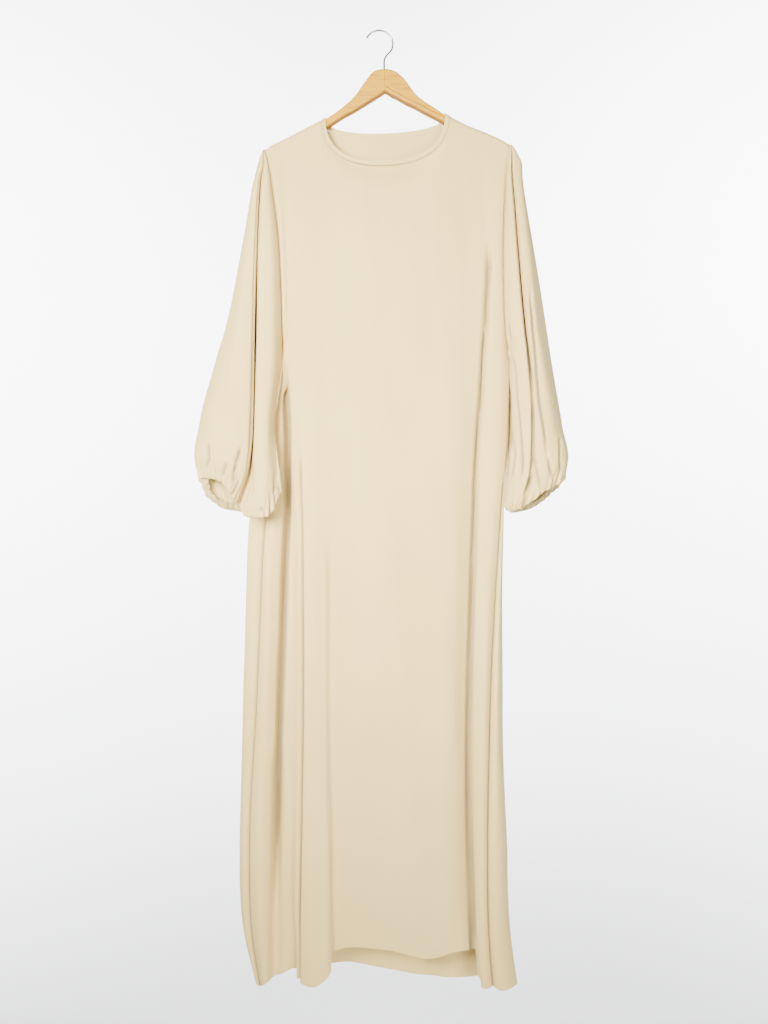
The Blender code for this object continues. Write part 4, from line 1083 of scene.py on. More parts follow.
def store_attribute(piece, name, values):
    """Store a value for each point of a piece's mesh."""
    stored = piece.data.attributes.new(name, "FLOAT", "POINT")
    stored.data.foreach_set("value", values.astype(np.float32))


def mesh_object(name, points, faces, material):
    """Object of four-cornered faces on points in millimetres, with the points that no face uses left out."""
    used, faces = np.unique(faces, return_inverse=True)
    faces = faces.reshape(-1, 4)
    mesh = bpy.data.meshes.new(name)
    mesh.vertices.add(len(used))
    mesh.vertices.foreach_set("co", (points[used] * MM).astype(np.float32).ravel())
    mesh.loops.add(faces.size)
    mesh.loops.foreach_set("vertex_index", faces.astype(np.int32).ravel())
    mesh.polygons.add(len(faces))
    mesh.polygons.foreach_set("loop_start", np.arange(0, faces.size, 4, dtype=np.int32))
    mesh.update(calc_edges=True)
    mesh.validate()
    mesh.shade_smooth()
    mesh.set_sharp_from_angle(angle=np.radians(SHARP_ANGLE))
    mesh.materials.append(material)
    piece = bpy.data.objects.new(name, mesh)
    bpy.context.scene.collection.objects.link(piece)
    return piece


def stretched(tree, scale):
    """Object coordinates stretched by a Mapping node."""
    coordinates = tree.nodes.new("ShaderNodeTexCoord")
    mapping = tree.nodes.new("ShaderNodeMapping")
    mapping.inputs["Scale"].default_value = scale
    tree.links.new(coordinates.outputs["Object"], mapping.inputs["Vector"])
    return mapping.outputs["Vector"]


def texture(tree, kind, scale, **inputs):
    """Value of a texture on stretched object coordinates. Scale is how many features fit a metre."""
    node = tree.nodes.new("ShaderNodeTex" + kind)
    tree.links.new(stretched(tree, scale), node.inputs["Vector"])
    for name, value in {"Scale": 1.0, **inputs}.items():
        node.inputs[name].default_value = value
    return node.outputs["Fac"]


def attribute(tree, name):
    """Value of a mesh attribute."""
    node = tree.nodes.new("ShaderNodeAttribute")
    node.attribute_name = name
    return node.outputs["Fac"]


def darker(colour, share):
    """Colour with each part multiplied by share."""
    return tuple(share * part for part in colour)


def blend_colours(tree, share, low, high, first, second):
    """Colour that goes from first to second as share goes from low to high."""
    ramp = tree.nodes.new("ShaderNodeValToRGB")
    for element, place, colour in zip(ramp.color_ramp.elements, (low, high), (first, second)):
        element.position = place
        element.color = (*colour, 1.0)
    tree.links.new(share, ramp.inputs["Fac"])
    return ramp.outputs["Color"]


def socket(sockets, identifier):
    """Socket of a node by its identifier, for a node whose sockets share names."""
    return next(found for found in sockets if found.identifier == identifier)


def mixed(tree, share, colour, other):
    """Colour of a socket that goes over to another colour as share goes from 0 to 1."""
    mix = tree.nodes.new("ShaderNodeMix")
    mix.data_type = "RGBA"
    tree.links.new(share, socket(mix.inputs, "Factor_Float"))
    tree.links.new(colour, socket(mix.inputs, "A_Color"))
    socket(mix.inputs, "B_Color").default_value = (*other, 1.0)
    return socket(mix.outputs, "Result_Color")


def bumped(tree, height, distance, strength, normal=None):
    """Normal with a bump of the given height in metres on it."""
    bump = tree.nodes.new("ShaderNodeBump")
    bump.inputs["Distance"].default_value = distance
    bump.inputs["Strength"].default_value = strength
    tree.links.new(height, bump.inputs["Height"])
    if normal is not None:
        tree.links.new(normal, bump.inputs["Normal"])
    return bump.outputs["Normal"]


def new_material(name, roughness, metallic=0.0):
    """Principled material and its node tree and shader."""
    material = bpy.data.materials.new(name)
    material.use_nodes = True
    shader = material.node_tree.nodes["Principled BSDF"]
    shader.inputs["Roughness"].default_value = roughness
    shader.inputs["Metallic"].default_value = metallic
    return material, material.node_tree, shader


def crepe_material(settings):
    """Matte crepe: a fine pebbled grain over a faint mottle and soft sheen, with painted shade deep in the
    creases and beside the seams.
    """
    material, tree, shader = new_material("cream crepe", settings.roughness)
    mottle = texture(tree, "Noise", (9.0, 9.0, 4.0), Detail=3.0)
    colour = blend_colours(tree, mottle, 0.3, 0.7, settings.shade, settings.colour)
    # Painted shade: the attribute mixes the shade colour into the crepe
    colour = mixed(tree, attribute(tree, CLOTH_PAINTED_SHADE), colour, settings.painted_shade_colour)
    tree.links.new(colour, shader.inputs["Base Color"])
    pebble = texture(tree, "Noise", (1150.0, 1150.0, 720.0), Detail=3.0)
    pucker = texture(tree, "Noise", (150.0, 150.0, 60.0), Detail=2.0)
    soft = bumped(tree, pucker, 0.0006, 0.22)
    tree.links.new(bumped(tree, pebble, 0.0003, 0.55, soft), shader.inputs["Normal"])
    shader.inputs["Sheen Weight"].default_value = 0.12
    shader.inputs["Sheen Roughness"].default_value = 0.55
    shader.inputs["Specular IOR Level"].default_value = 0.3
    return material


def thread_material(settings):
    """Sewing thread: a twisted ply seen as slanting ridges."""
    material, tree, shader = new_material("cream thread", 0.7)
    shader.inputs["Sheen Weight"].default_value = 0.2
    ply = texture(tree, "Wave", (900.0, 900.0, 900.0), Distortion=1.0)
    colour = blend_colours(tree, ply, 0.2, 0.8, darker(settings.colour, 0.86), settings.colour)
    tree.links.new(colour, shader.inputs["Base Color"])
    tree.links.new(bumped(tree, ply, 0.0001, 0.5), shader.inputs["Normal"])
    return material


def wood_material(settings):
    """Varnished light wood: fine grain lines along the bar, painted shade on its lower edge and in its arm's
    groove, and a satin coat.
    """
    material, tree, shader = new_material("varnished wood", 0.42)
    wander = texture(tree, "Noise", (14.0, 60.0, 60.0), Detail=4.0)
    grain = texture(tree, "Noise", (26.0, 420.0, 420.0), Detail=5.0, Distortion=0.6)
    light = blend_colours(tree, wander, 0.25, 0.75, settings.light_wood, darker(settings.light_wood, 0.92))
    lines = blend_colours(tree, grain, 0.52, 0.66, (0.0, 0.0, 0.0), (0.55, 0.55, 0.55))
    grained = mixed(tree, lines, light, settings.dark_wood)
    # Painted shade: the attribute mixes a darker wood colour into the lower edge and the arm's groove
    shaded_wood = mixed(tree, attribute(tree, EDGE_SHADE), grained, darker(settings.dark_wood, 0.75))
    tree.links.new(shaded_wood, shader.inputs["Base Color"])
    tree.links.new(bumped(tree, grain, 0.0002, 0.25), shader.inputs["Normal"])
    shader.inputs["Coat Weight"].default_value = 0.06
    shader.inputs["Specular IOR Level"].default_value = 0.12
    shader.inputs["Coat Roughness"].default_value = 0.25
    return material


def wire_material(settings):
    """Bright plated wire with faint drawing lines."""
    material, tree, shader = new_material("bright wire", 0.16, metallic=1.0)
    drawn = texture(tree, "Noise", (1600.0, 1600.0, 500.0), Detail=2.0)
    colour = blend_colours(tree, drawn, 0.3, 0.7, darker(settings.wire, 0.93), settings.wire)
    tree.links.new(colour, shader.inputs["Base Color"])
    tree.links.new(bumped(tree, drawn, 0.00005, 0.2), shader.inputs["Normal"])
    return material


def backdrop_material(settings):
    """Pale matte paper of the floor and backdrop."""
    material, tree, shader = new_material("pale backdrop", 0.95)
    fibre = texture(tree, "Noise", (3.0, 3.0, 3.0), Detail=2.0)
    colour = blend_colours(tree, fibre, 0.3, 0.7, darker(settings.backdrop, 0.99), settings.backdrop)
    tree.links.new(colour, shader.inputs["Base Color"])
    return material


def material_once(name, make, settings):
    """The material of that name, made if the scene doesn't have it."""
    return bpy.data.materials.get(name) or make(settings)


def body_faces():
    """Outer faces and normals of the front and back panels, still without creases and with closed seams."""
    front = panel_rows(FRONT_FOLDS, -1, FRONT_NECK_DEPTH)
    back = panel_rows(BACK_FOLDS, 1, BACK_NECK_DEPTH, seams=front)
    normals = []
    for rows, side in ((front, -1), (back, 1)):
        normals.append(normals_of(rows))
        lean_over_hanger(rows, normals[-1], side)
    below = level_heights()[1]["underarm"]
    for first, second in ((0, -1), (-1, 0)):
        both = unit(normals[0][below:, first] + normals[1][below:, second])
        normals[0][below:, first] = both
        normals[1][below:, second] = both
    return front, back, normals[0], normals[1]


def sleeve_faces(side, front, back, front_normals, back_normals):
    """Outer face and normals of a sleeve, joined to the armhole edges of both panels."""
    sewn = level_heights()[1]["underarm"]
    left = side == "left"
    folds = LEFT_SLEEVE_FOLDS if left else RIGHT_SLEEVE_FOLDS
    front_column, back_column = (0, -1) if left else (-1, 0)
    rows = sleeve_rows(folds, front, front_column)
    join_front, join_back = (-1, 0) if left else (0, -1)
    if left:
        rows = rows[:, ::-1].copy()
    normals = normals_of(rows, closed_from=sewn)
    for join, panel, panel_normals, column in (
        (join_front, front, front_normals, front_column),
        (join_back, back, back_normals, back_column),
    ):
        rows[:sewn, join] = panel[1:sewn + 1, column]
        both = unit(normals[:sewn - 1, join] + panel_normals[1:sewn, column])
        normals[:sewn - 1, join] = both
        panel_normals[1:sewn, column] = both
    normals[sewn - 1, [0, -1]] = unit(normals[sewn - 1, 0] + normals[sewn - 1, -1])
    return rows, normals


def gathered(rows, normals, settings, seed):
    """Sleeve rows with gathers: waves round the sleeve that are largest at its end and die out above it.

    A wave is a power of the absolute sine of its phase, which makes round ridges and narrow troughs. Sines
    round the sleeve shift the phases and give each gather a reach of its own.
    """
    turn = np.linspace(0, 1, rows.shape[1])
    full = 2 * np.pi
    height = np.linalg.norm(rows - rows[-1], axis=2)
    wobble = sum(size * np.sin(full * (waves * turn + part * seed)) for size, waves, part in GATHER_SHIFTS)
    drift = DRIFT * np.sin(full * (2 * turn + seed) + height / DRIFT_LENGTH) * smooth(height / DRIFT_START)
    offset = np.zeros(rows.shape[:2])
    for waves, reach, depth, odd, share in (
        (FINE_GATHERS, FINE_GATHER_REACH, settings.fine_depth, FINE_UNEVEN_WAVES, FINE_WOBBLE),
        (COARSE_GATHERS, COARSE_GATHER_REACH, settings.coarse_depth, COARSE_UNEVEN_WAVES, COARSE_WOBBLE),
    ):
        uneven = 1.0
        for size, more, part in REACH_CHANGES:
            uneven = uneven + size * np.sin(full * ((odd + more) * turn + part * seed))
        phase = waves * turn + wobble * share + drift
        wave = GATHER_SWING * np.abs(np.sin(np.pi * phase)) ** GATHER_ROUNDNESS - 1.0
        offset += depth * wave * np.exp(-(height / (reach * uneven)) ** GATHER_FADE_POWER)
    return rows + normals * offset[..., None]


def reach_behind(rows):
    """Move a panel's side edges out behind the sleeves, between the underarm and the cuffs."""
    high = rows[..., 2]
    near = smooth((LEVELS["underarm"] - high) / TUCK_DROP) * smooth((high - CUFF_HEIGHT) / TUCK_FADE)
    for column in (0, -1):
        outward = np.sign(rows[-1, column, 0] - rows[-1, rows.shape[1] // 2, 0])
        tuck = TUCK_LEFT if outward < 0 else TUCK_RIGHT
        rows[..., 0] += outward * tuck * bell(from_edge(rows, column), TUCK_REACH) * near


def body_surfaces(settings):
    """Face, normals and shade of the front and the back panel with their folds and their sunk seams.

    The sleeves' faces are made for the normals that they give the armhole edges.
    """
    front, back, front_normals, back_normals = body_faces()
    for side in ("left", "right"):
        sleeve_faces(side, front, back, front_normals, back_normals)
    surfaces = []
    for rows, normals in ((front, front_normals), (back, back_normals)):
        rows, shade = ruffle(rows, normals, BODY_CREASES, settings.creases)
        reach_behind(rows)
        for column in (0, -1):
            sink_seam(rows, normals, column)
            shade_seam(shade, rows, column)
        surfaces.append((rows, normals, shade))
    return surfaces


def sleeve_surface(side, settings):
    """Outer face, normals and shade of a sleeve with its folds and gathers, without its rolled end."""
    creases, seed, painted_shade_width = SLEEVE_LOOKS[side]
    sewn = level_heights()[1]["underarm"]
    rows, normals = sleeve_faces(side, *body_faces())
    rows, shade = ruffle(rows, normals, creases, settings.creases)
    rows = gathered(rows, normals, settings, seed)
    for column in (0, -1):
        sink_seam(rows, normals, column, slice(0, sewn - 1))
        shade_seam(shade, rows, column, painted_shade_width)
    outward = -1 if side == "left" else 1
    rows[sewn - 1, [0, -1]] += (outward * UNDERARM_GAP, 0, 0)
    rows[sewn - 1:, -1] = rows[sewn - 1:, 0]
    return rows, normals, shade


def inner_face(rows, normals, thickness):
    """Inner face of the cloth."""
    return rows - normals * thickness


def folded_hem(rows, normals, thickness):
    """Outer and inner faces with the turned-up hem: thicker over its height, with a dip at its stitches."""
    above = np.linalg.norm(rows - rows[-1], axis=2)
    turned = smooth((HEM_HEIGHT - above) / HEM_FOLD_EDGE + 0.5)
    dip = HEM_SINK * bell(above - HEM_HEIGHT, HEM_SINK_WIDTH)
    outer = rows - normals * dip[..., None]
    return outer, rows - normals * (thickness + HEM_FOLD * turned)[..., None]


def finish_cloth(piece, nodes):
    """Put a cloth piece on the body, and hide the nodes that it stands for."""
    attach(piece, "root")
    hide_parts(*nodes)


class ABAYA_OT_hanger(bpy.types.Operator):
    """Build the wooden bar and its wire hook"""

    bl_idname = "abaya.hanger"
    bl_label = "Hanger"

    def execute(self, context):
        settings = context.scene.abaya_hanger
        bar = self.wooden_bar(settings)
        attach(bar, "root")
        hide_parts("hanger_wood")
        hook = self.wire_hook(settings)
        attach(hook, "root")
        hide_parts("hanger_hook")
        return {"FINISHED"}

    def wooden_bar(self, settings):
        """Flat bar along x, with sections closer together at its ends and at the glued joint."""
        ends = np.sin(np.linspace(0, np.pi / 2, END_RINGS))
        near_joint = JOINT_X + np.linspace(-JOINT_REACH, JOINT_REACH, JOINT_RINGS)
        inner = np.unique(np.concatenate([np.linspace(WOOD_LEFT, WOOD_RIGHT, BAR_RINGS), near_joint]))
        xs = np.concatenate([WOOD_LEFT - WOOD_END * ends[::-1], inner, WOOD_RIGHT + WOOD_END * ends])
        xs = np.unique(np.round(xs, 4))
        material = material_once("varnished wood", wood_material, settings)
        piece = self.closed_tube("wooden_bar", self.bar_sections(xs, settings.edge_radius), material)
        self.paint_edge_shade(piece, xs)
        return piece

    def bar_sections(self, xs, edge_radius):
        """Sections of the bar: rectangles with round corners, which shrink at the ends to round them off.

        The front's lower edge has a tall bevel, one fine groove marks the glued joint and another runs along
        the right arm.
        """
        top, bottom = self.bar_heights(xs)
        over = np.maximum(np.maximum(WOOD_LEFT - xs, xs - WOOD_RIGHT), 0) / WOOD_END
        shrink = np.sqrt(np.maximum(1 - over**2, END_POINT))
        middle = (top + bottom) / 2
        half_height = (top - bottom) / 2 * (END_SHARE + (1 - END_SHARE) * shrink)
        half_depth = WOOD_THICKNESS / 2 * shrink
        room = CORNER_SHARE * np.minimum(half_height, half_depth)
        corner = np.minimum(edge_radius, room)[:, None]
        quarter = np.linspace(0, np.pi / 2, CORNER_POINTS)
        turn = np.concatenate([k * np.pi / 2 + quarter for k in range(4)])
        side = np.repeat([[1, 1], [-1, 1], [-1, -1], [1, -1]], CORNER_POINTS, axis=0)
        y = side[:, 0] * (half_depth[:, None] - corner) + corner * np.cos(turn)
        bevel = np.where(side.sum(axis=1) == -2, WOOD_BEVEL, 1.0)
        tall = np.minimum(corner * bevel, CORNER_SHARE * half_height[:, None])
        z = side[:, 1] * (half_height[:, None] - tall) + tall * np.sin(turn)
        split = 2 * CORNER_POINTS
        high, low = z[:, split - 1:split], z[:, split:split + 1]
        down = high + (low - high) * np.linspace(0, 1, FACE_POINTS)[1:-1]
        cut = bell(down + half_height[:, None] - LINE_HEIGHT, LINE_WIDTH)
        cut = cut * smooth((xs - JOINT_X) / LINE_START)[:, None]
        y = np.concatenate([y[:, :split], LINE_DEPTH * cut - half_depth[:, None], y[:, split:]], axis=1)
        z = np.concatenate([z[:, :split], down, z[:, split:]], axis=1)
        groove = GROOVE_DEPTH * bell(xs - JOINT_X, GROOVE_WIDTH)[:, None]
        y *= 1 - groove / WOOD_THICKNESS * 2
        z *= 1 - groove / half_height[:, None]
        return np.stack([np.broadcast_to(xs[:, None], y.shape), y, middle[:, None] + z], axis=2)

    def bar_heights(self, xs):
        """Heights of the bar's upper and lower edges, under the cloth that lies over it."""
        table = np.array(SHOULDER_LINE)
        top = ridge(xs) - SOLID_WALL - WOOD_CLEARANCE
        return top, top - eased(table[:, 0], table[:, 2], xs)

    def paint_edge_shade(self, piece, xs):
        """Store an attribute of painted shade, which darkens the bar's lower edge and the groove of its arm.
        """
        bottom = self.bar_heights(xs)[1]
        places = np.empty(len(piece.data.vertices) * 3, np.float32)
        piece.data.vertices.foreach_get("co", places)
        places = places.reshape(-1, 3) / MM
        above = places[:, 2] - np.interp(places[:, 0], xs, bottom)
        on_arm = smooth((places[:, 0] - JOINT_X) / LINE_START) * (places[:, 1] < 0)
        line = LINE_SHADE * bell(above - LINE_HEIGHT, LINE_SHADE_WIDTH) * on_arm
        shade = np.maximum(smooth((EDGE_SHADE_HEIGHT - above) / EDGE_SHADE_FADE), line)
        store_attribute(piece, EDGE_SHADE, shade)

    def wire_hook(self, settings):
        """Round wire along the hook's line: an arc, a short bend and the stem, with a rounded tip."""
        turns = np.radians(np.linspace(HOOK_TIP_ANGLE, HOOK_END_ANGLE, ARC_POINTS))
        arc = HOOK_CENTRE + HOOK_RADIUS * np.stack([np.cos(turns), np.sin(turns)], axis=1)
        foot = ridge(STEM_X) - SOLID_WALL - WOOD_CLEARANCE - STEM_DEPTH
        line = np.concatenate([arc, HOOK_BEND, [(STEM_X, foot)]])
        path = through(line[:, None], [CURVE_CELLS] * (len(line) - 1) + [0])[0]
        forward = unit(np.gradient(path, axis=0))
        lengths = run_lengths(path)
        tip = WIRE_RADIUS * (1 - np.cos(np.linspace(TIP_START, np.pi / 2, TIP_RINGS)))
        along = np.concatenate([tip, np.linspace(WIRE_RADIUS + AFTER_TIP, lengths[-1], WIRE_RINGS)])
        place = read_along(along, lengths, path)
        ahead = unit(read_along(along, lengths, forward))
        radius = WIRE_RADIUS * np.sqrt(1 - np.clip(1 - along / WIRE_RADIUS, 0, 1) ** 2)
        angle = np.linspace(0, 2 * np.pi, WIRE_CORNERS, endpoint=False)
        aside = np.stack([-ahead[:, 1], ahead[:, 0]], axis=1)
        x = place[:, :1] + aside[:, :1] * radius[:, None] * np.cos(angle)
        z = place[:, 1:] + aside[:, 1:] * radius[:, None] * np.cos(angle)
        y = radius[:, None] * np.sin(angle)
        rows = np.stack([x, y, z], axis=2)
        return self.closed_tube("wire_hook", rows, material_once("bright wire", wire_material, settings))

    def closed_tube(self, name, rows, material):
        """Tube through rings of points, closed at both ends by a ring drawn in almost to a point."""
        first = np.broadcast_to(rows[0].mean(axis=0), rows[0].shape)
        last = np.broadcast_to(rows[-1].mean(axis=0), rows[-1].shape)
        near_first = rows[0] + (first - rows[0]) * END_CLOSING
        near_last = rows[-1] + (last - rows[-1]) * END_CLOSING
        rows = np.concatenate([near_first[None], rows, near_last[None]])
        rows = np.concatenate([rows, rows[:, :1]], axis=1)
        faces = quads(grid_ids(rows.shape, 0))
        piece = mesh_object(name, rows.reshape(-1, 3), faces, material)
        close_ends(piece)
        return piece


def close_ends(piece):
    """Fill the open ends of a mesh's tubes and turn its faces outwards."""
    build = bmesh.new()
    build.from_mesh(piece.data)
    bmesh.ops.holes_fill(build, edges=[edge for edge in build.edges if edge.is_boundary], sides=0)
    bmesh.ops.recalc_face_normals(build, faces=build.faces)
    build.to_mesh(piece.data)
    build.free()


class ABAYA_OT_body(bpy.types.Operator):
    """Build the front and back panels"""

    bl_idname = "abaya.body"
    bl_label = "Body panels"

    def execute(self, context):
        settings = context.scene.abaya_cloth
        material = material_once("cream crepe", crepe_material, settings)
        front, back = body_surfaces(settings)
        for name, nodes, (rows, normals, shade), cut, area in (
            ("front_cloth", ["front_upper", "front_lower"], front, FRONT_CUT, FRONT_AREA),
            ("back_cloth", ["back_upper", "back_lower"], back, BACK_CUT, BACK_AREA),
        ):
            outer, inner = folded_hem(rows, normals, settings.thickness)
            piece = shell_object(name, outer, inner, material, shade=shade)
            finish_cloth(piece, nodes)
        return {"FINISHED"}


class ABAYA_OT_sleeves(bpy.types.Operator):
    """Build both sleeves and their gathered cuffs"""

    bl_idname = "abaya.sleeves"
    bl_label = "Sleeves and cuffs"

    def execute(self, context):
        settings = context.scene.abaya_cloth
        material = material_once("cream crepe", crepe_material, settings)
        sewn = level_heights()[1]["underarm"]
        for side, (cut, area) in SLEEVE_CUTS.items():
            rows, normals, shade = sleeve_surface(side, settings)
            rows, normals = rolled_end(rows, normals)
            # Painted shade on the rolled end's rows, darker towards its inside
            rolled = ROLL_SHADE * np.arange(1, CUFF_ROLL_ROWS + 1) / CUFF_ROLL_ROWS
            shade = np.concatenate([shade, np.repeat(rolled[:, None], rows.shape[1], axis=1)])
            inner = inner_face(rows, normals, settings.thickness)
            inner[sewn - 1:, -1] = inner[sewn - 1:, 0]
            nodes = ["sleeve_" + side + "_upper", "sleeve_" + side + "_lower"]
            piece = shell_object(side + "_sleeve_cloth", rows, inner, material, sewn - 1, shade)
            finish_cloth(piece, nodes)
            outer, inner, depth = self.casing(rows, normals, settings)
            cuff = shell_object(side + "_cuff_cloth", outer, inner, material, closed_from=0, shade=depth)
            finish_cloth(cuff, ["cuff_" + side])
        return {"FINISHED"}

    def casing(self, rows, normals, settings):
        """Elastic casing inside the sleeve's rolled end, with fine puckers on the side that shows.

        It goes on the way that the roll ends, and swells as a half sine across its width. Its painted shade
        grows inwards and between the puckers.
        """
        way = unit(rows[-1] - rows[-2])
        share = np.linspace(0, 1, CASING_ROWS)[:, None, None]
        turn = np.linspace(0, 1, rows.shape[1])
        wobble = np.sin(2 * np.pi * CASING_WOBBLE_WAVES * turn)
        waves = CASING_PUCKERS * turn + CASING_WOBBLE * wobble
        bulge = np.abs(np.sin(np.pi * waves))
        pucker = CASING_PUCKER_HEIGHT * bulge[:, None]
        swell = np.sin(np.pi * share) ** CASING_ROUNDNESS
        place = rows[-1] + way * (SEAM_GAP + CASING_WIDTH * share)
        outer = place + normals[-1] * swell * (CASING_SWELL + pucker)
        inner = place - normals[-1] * settings.thickness
        outer[:, -1] = outer[:, 0]
        inner[:, -1] = inner[:, 0]
        depth = ROLL_SHADE + (1 - ROLL_SHADE) * share[..., 0] ** 2 - PUCKER_SHADE * bulge
        return outer, inner, np.clip(depth, 0, 1)


def rolled_end(rows, normals):
    """Rows and normals with more rows, in which the cloth rolls in and back up round a small arc."""
    down = unit(rows[-1] - rows[-2])
    turn = np.radians(CUFF_ROLL_TURN) * np.arange(1, CUFF_ROLL_ROWS + 1)[:, None, None] / CUFF_ROLL_ROWS
    arc = rows[-1] + CUFF_ROLL * (np.sin(turn) * down - (1 - np.cos(turn)) * normals[-1])
    facing = unit(np.cos(turn) * normals[-1] + np.sin(turn) * down)
    return np.concatenate([rows, arc]), np.concatenate([normals, facing])


class ABAYA_OT_neckband(bpy.types.Operator):
    """Build the binding round the neck"""

    bl_idname = "abaya.neckband"
    bl_label = "Neck binding"

    def execute(self, context):
        settings = context.scene.abaya_cloth
        rows = binding_rows()
        normals = normals_of(rows, closed_from=0)
        share = np.linspace(0, 1, len(rows))[:, None, None]
        full = np.sin(np.pi * share) ** BINDING_ROUNDNESS
        outer = rows + normals * BINDING_BULGE * full
        thick = BINDING_THINNEST + (1 - BINDING_THINNEST) * full
        inner = rows - normals * settings.thickness * thick
        material = material_once("cream crepe", crepe_material, settings)
        piece = shell_object("neck_band", outer, inner, material, closed_from=0)
        finish_cloth(piece, ["neck_binding"])
        return {"FINISHED"}


def binding_rows(shares=np.linspace(0, 1, BINDING_ROWS)):
    """Outer face of the neck binding, from the neck edge to the panels' edge, front and back."""
    loops = []
    for depth, side, turn in (
        (FRONT_NECK_DEPTH, -1, neck_turn(np.linspace(0.0, 1.0, FRONT_BINDING_COLUMNS))),
        (BACK_NECK_DEPTH, 1, neck_turn(np.linspace(1.0, 0.0, BACK_BINDING_COLUMNS))),
    ):
        rows = []
        for share in shares:
            x, z = neck_line(turn, depth, BINDING_WIDTH * share)
            z = np.minimum(z, ridge(x))
            drop = ridge(x) - z
            flare = BINDING_FLARE * np.maximum(drop - BINDING_FLARE_DROP, 0)
            y = side * (roll(x, z) + BINDING_LIFT + flare)
            lift = BINDING_LIFT * (1 - np.clip(drop / SHOULDER_ROLL, 0, 1))
            rows.append(np.stack([x, y, z + lift], axis=1))
        loops.append(np.array(rows)[:, :-1])
    rows = np.concatenate(loops, axis=1)
    return np.concatenate([rows, rows[:, :1]], axis=1)


def stitch_mesh(name, lines, settings):
    """Stitches along lines, each given as places and outward directions, as one mesh.

    A stitch is a short thread that dives in at both ends: its height is a half sine along it, and its
    section is a pentagon.
    """
    corners = np.linspace(0, 2 * np.pi, STITCH_CORNERS, endpoint=False)
    sections = len(STITCH_PLACES)
    points, faces = [], []
    start = 0
    for places, outward in lines:
        lengths = run_lengths(places)
        begins = np.arange(0, lengths[-1] - settings.length, settings.length + settings.gap)
        at = begins[:, None] + STITCH_PLACES * settings.length
        middle = read_along(at, lengths, places)
        out = unit(read_along(at, lengths, outward))
        ahead = unit(middle[:, -1:] - middle[:, :1])
        aside = unit(np.cross(ahead, out))
        height = settings.radius * (STITCH_RISE * np.sin(np.pi * STITCH_PLACES) - STITCH_SINK)
        middle = middle + out * height[None, :, None]
        ring = out[..., None, :] * np.sin(corners)[:, None] + aside[..., None, :] * np.cos(corners)[:, None]
        rings = middle[..., None, :] + settings.radius * ring * STITCH_TAPER[:, None, None]
        size = len(begins) * sections * STITCH_CORNERS
        ids = start + np.arange(size).reshape(-1, sections, STITCH_CORNERS)
        ids = np.concatenate([ids, ids[:, :, :1]], axis=2)
        sides = np.stack([ids[:, 1:, :-1], ids[:, 1:, 1:], ids[:, :-1, 1:], ids[:, :-1, :-1]], axis=-1)
        points.append(rings.reshape(-1, 3))
        faces.append(sides.reshape(-1, 4))
        start += size
    material = material_once("cream thread", thread_material, settings)
    piece = mesh_object(name, np.concatenate(points), np.concatenate(faces), material)
    close_ends(piece)
    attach(piece, "root")
    return piece


class ABAYA_OT_sewing(bpy.types.Operator):
    """Sew the visible stitches at the neck, hem and cuffs"""

    bl_idname = "abaya.sewing"
    bl_label = "Stitches"

    def execute(self, context):
        settings = context.scene.abaya_sewing
        cloth = context.scene.abaya_cloth
        stitch_mesh("neck_stitches", [self.band_line()], settings)
        for side in ("left", "right"):
            rows, normals, _ = sleeve_surface(side, cloth)
            out = normals[-CUFF_STITCH_ROW]
            place = rows[-CUFF_STITCH_ROW] + out * settings.radius
            stitch_mesh(side + "_cuff_stitches", [(place, out)], settings)
        lines = []
        for rows, normals, _ in body_surfaces(cloth):
            above = np.linalg.norm(rows - rows[-1], axis=2)
            number = np.argmin(np.abs(above.mean(axis=1) - HEM_HEIGHT))
            rise = np.maximum(above[number - 1] - above[number], TINY)
            share = np.clip((HEM_HEIGHT - above[number]) / rise, -1, 1)[:, None]
            place = rows[number] + (rows[number - 1] - rows[number]) * share
            out = normals[number]
            lines.append(((place - out * HEM_SINK)[2:-2], out[2:-2]))
        stitch_mesh("hem_stitches", lines, settings)
        self.loose_end(settings)
        return {"FINISHED"}

    def loose_end(self, settings):
        """Thread end that hangs from the hem's left corner: a round tube along a short curve."""
        cells = [LOOSE_END_CELLS] * (len(LOOSE_END) - 1) + [0]
        line = through(np.array(LOOSE_END)[:, None], cells)[0]
        ahead = unit(np.gradient(line, axis=0))
        aside = unit(np.cross(ahead, (0.0, 1.0, 0.0)))
        out = np.cross(aside, ahead)
        turn = np.linspace(0, 2 * np.pi, LOOSE_END_CORNERS + 1)[:, None]
        ring = np.cos(turn) * aside[:, None] + np.sin(turn) * out[:, None]
        rows = line[:, None] + LOOSE_END_RADIUS * ring
        material = material_once("cream thread", thread_material, settings)
        piece = mesh_object("loose_thread", rows.reshape(-1, 3), quads(grid_ids(rows.shape, 0)), material)
        close_ends(piece)
        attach(piece, "root")

    def band_line(self):
        """Line of stitches just inside the binding's lower edge."""
        rows = binding_rows(shares=NECK_STITCH_PLACES)
        normals = normals_of(rows, closed_from=0)
        return rows[0] + normals[0] * NECK_STITCH_LIFT, normals[0]


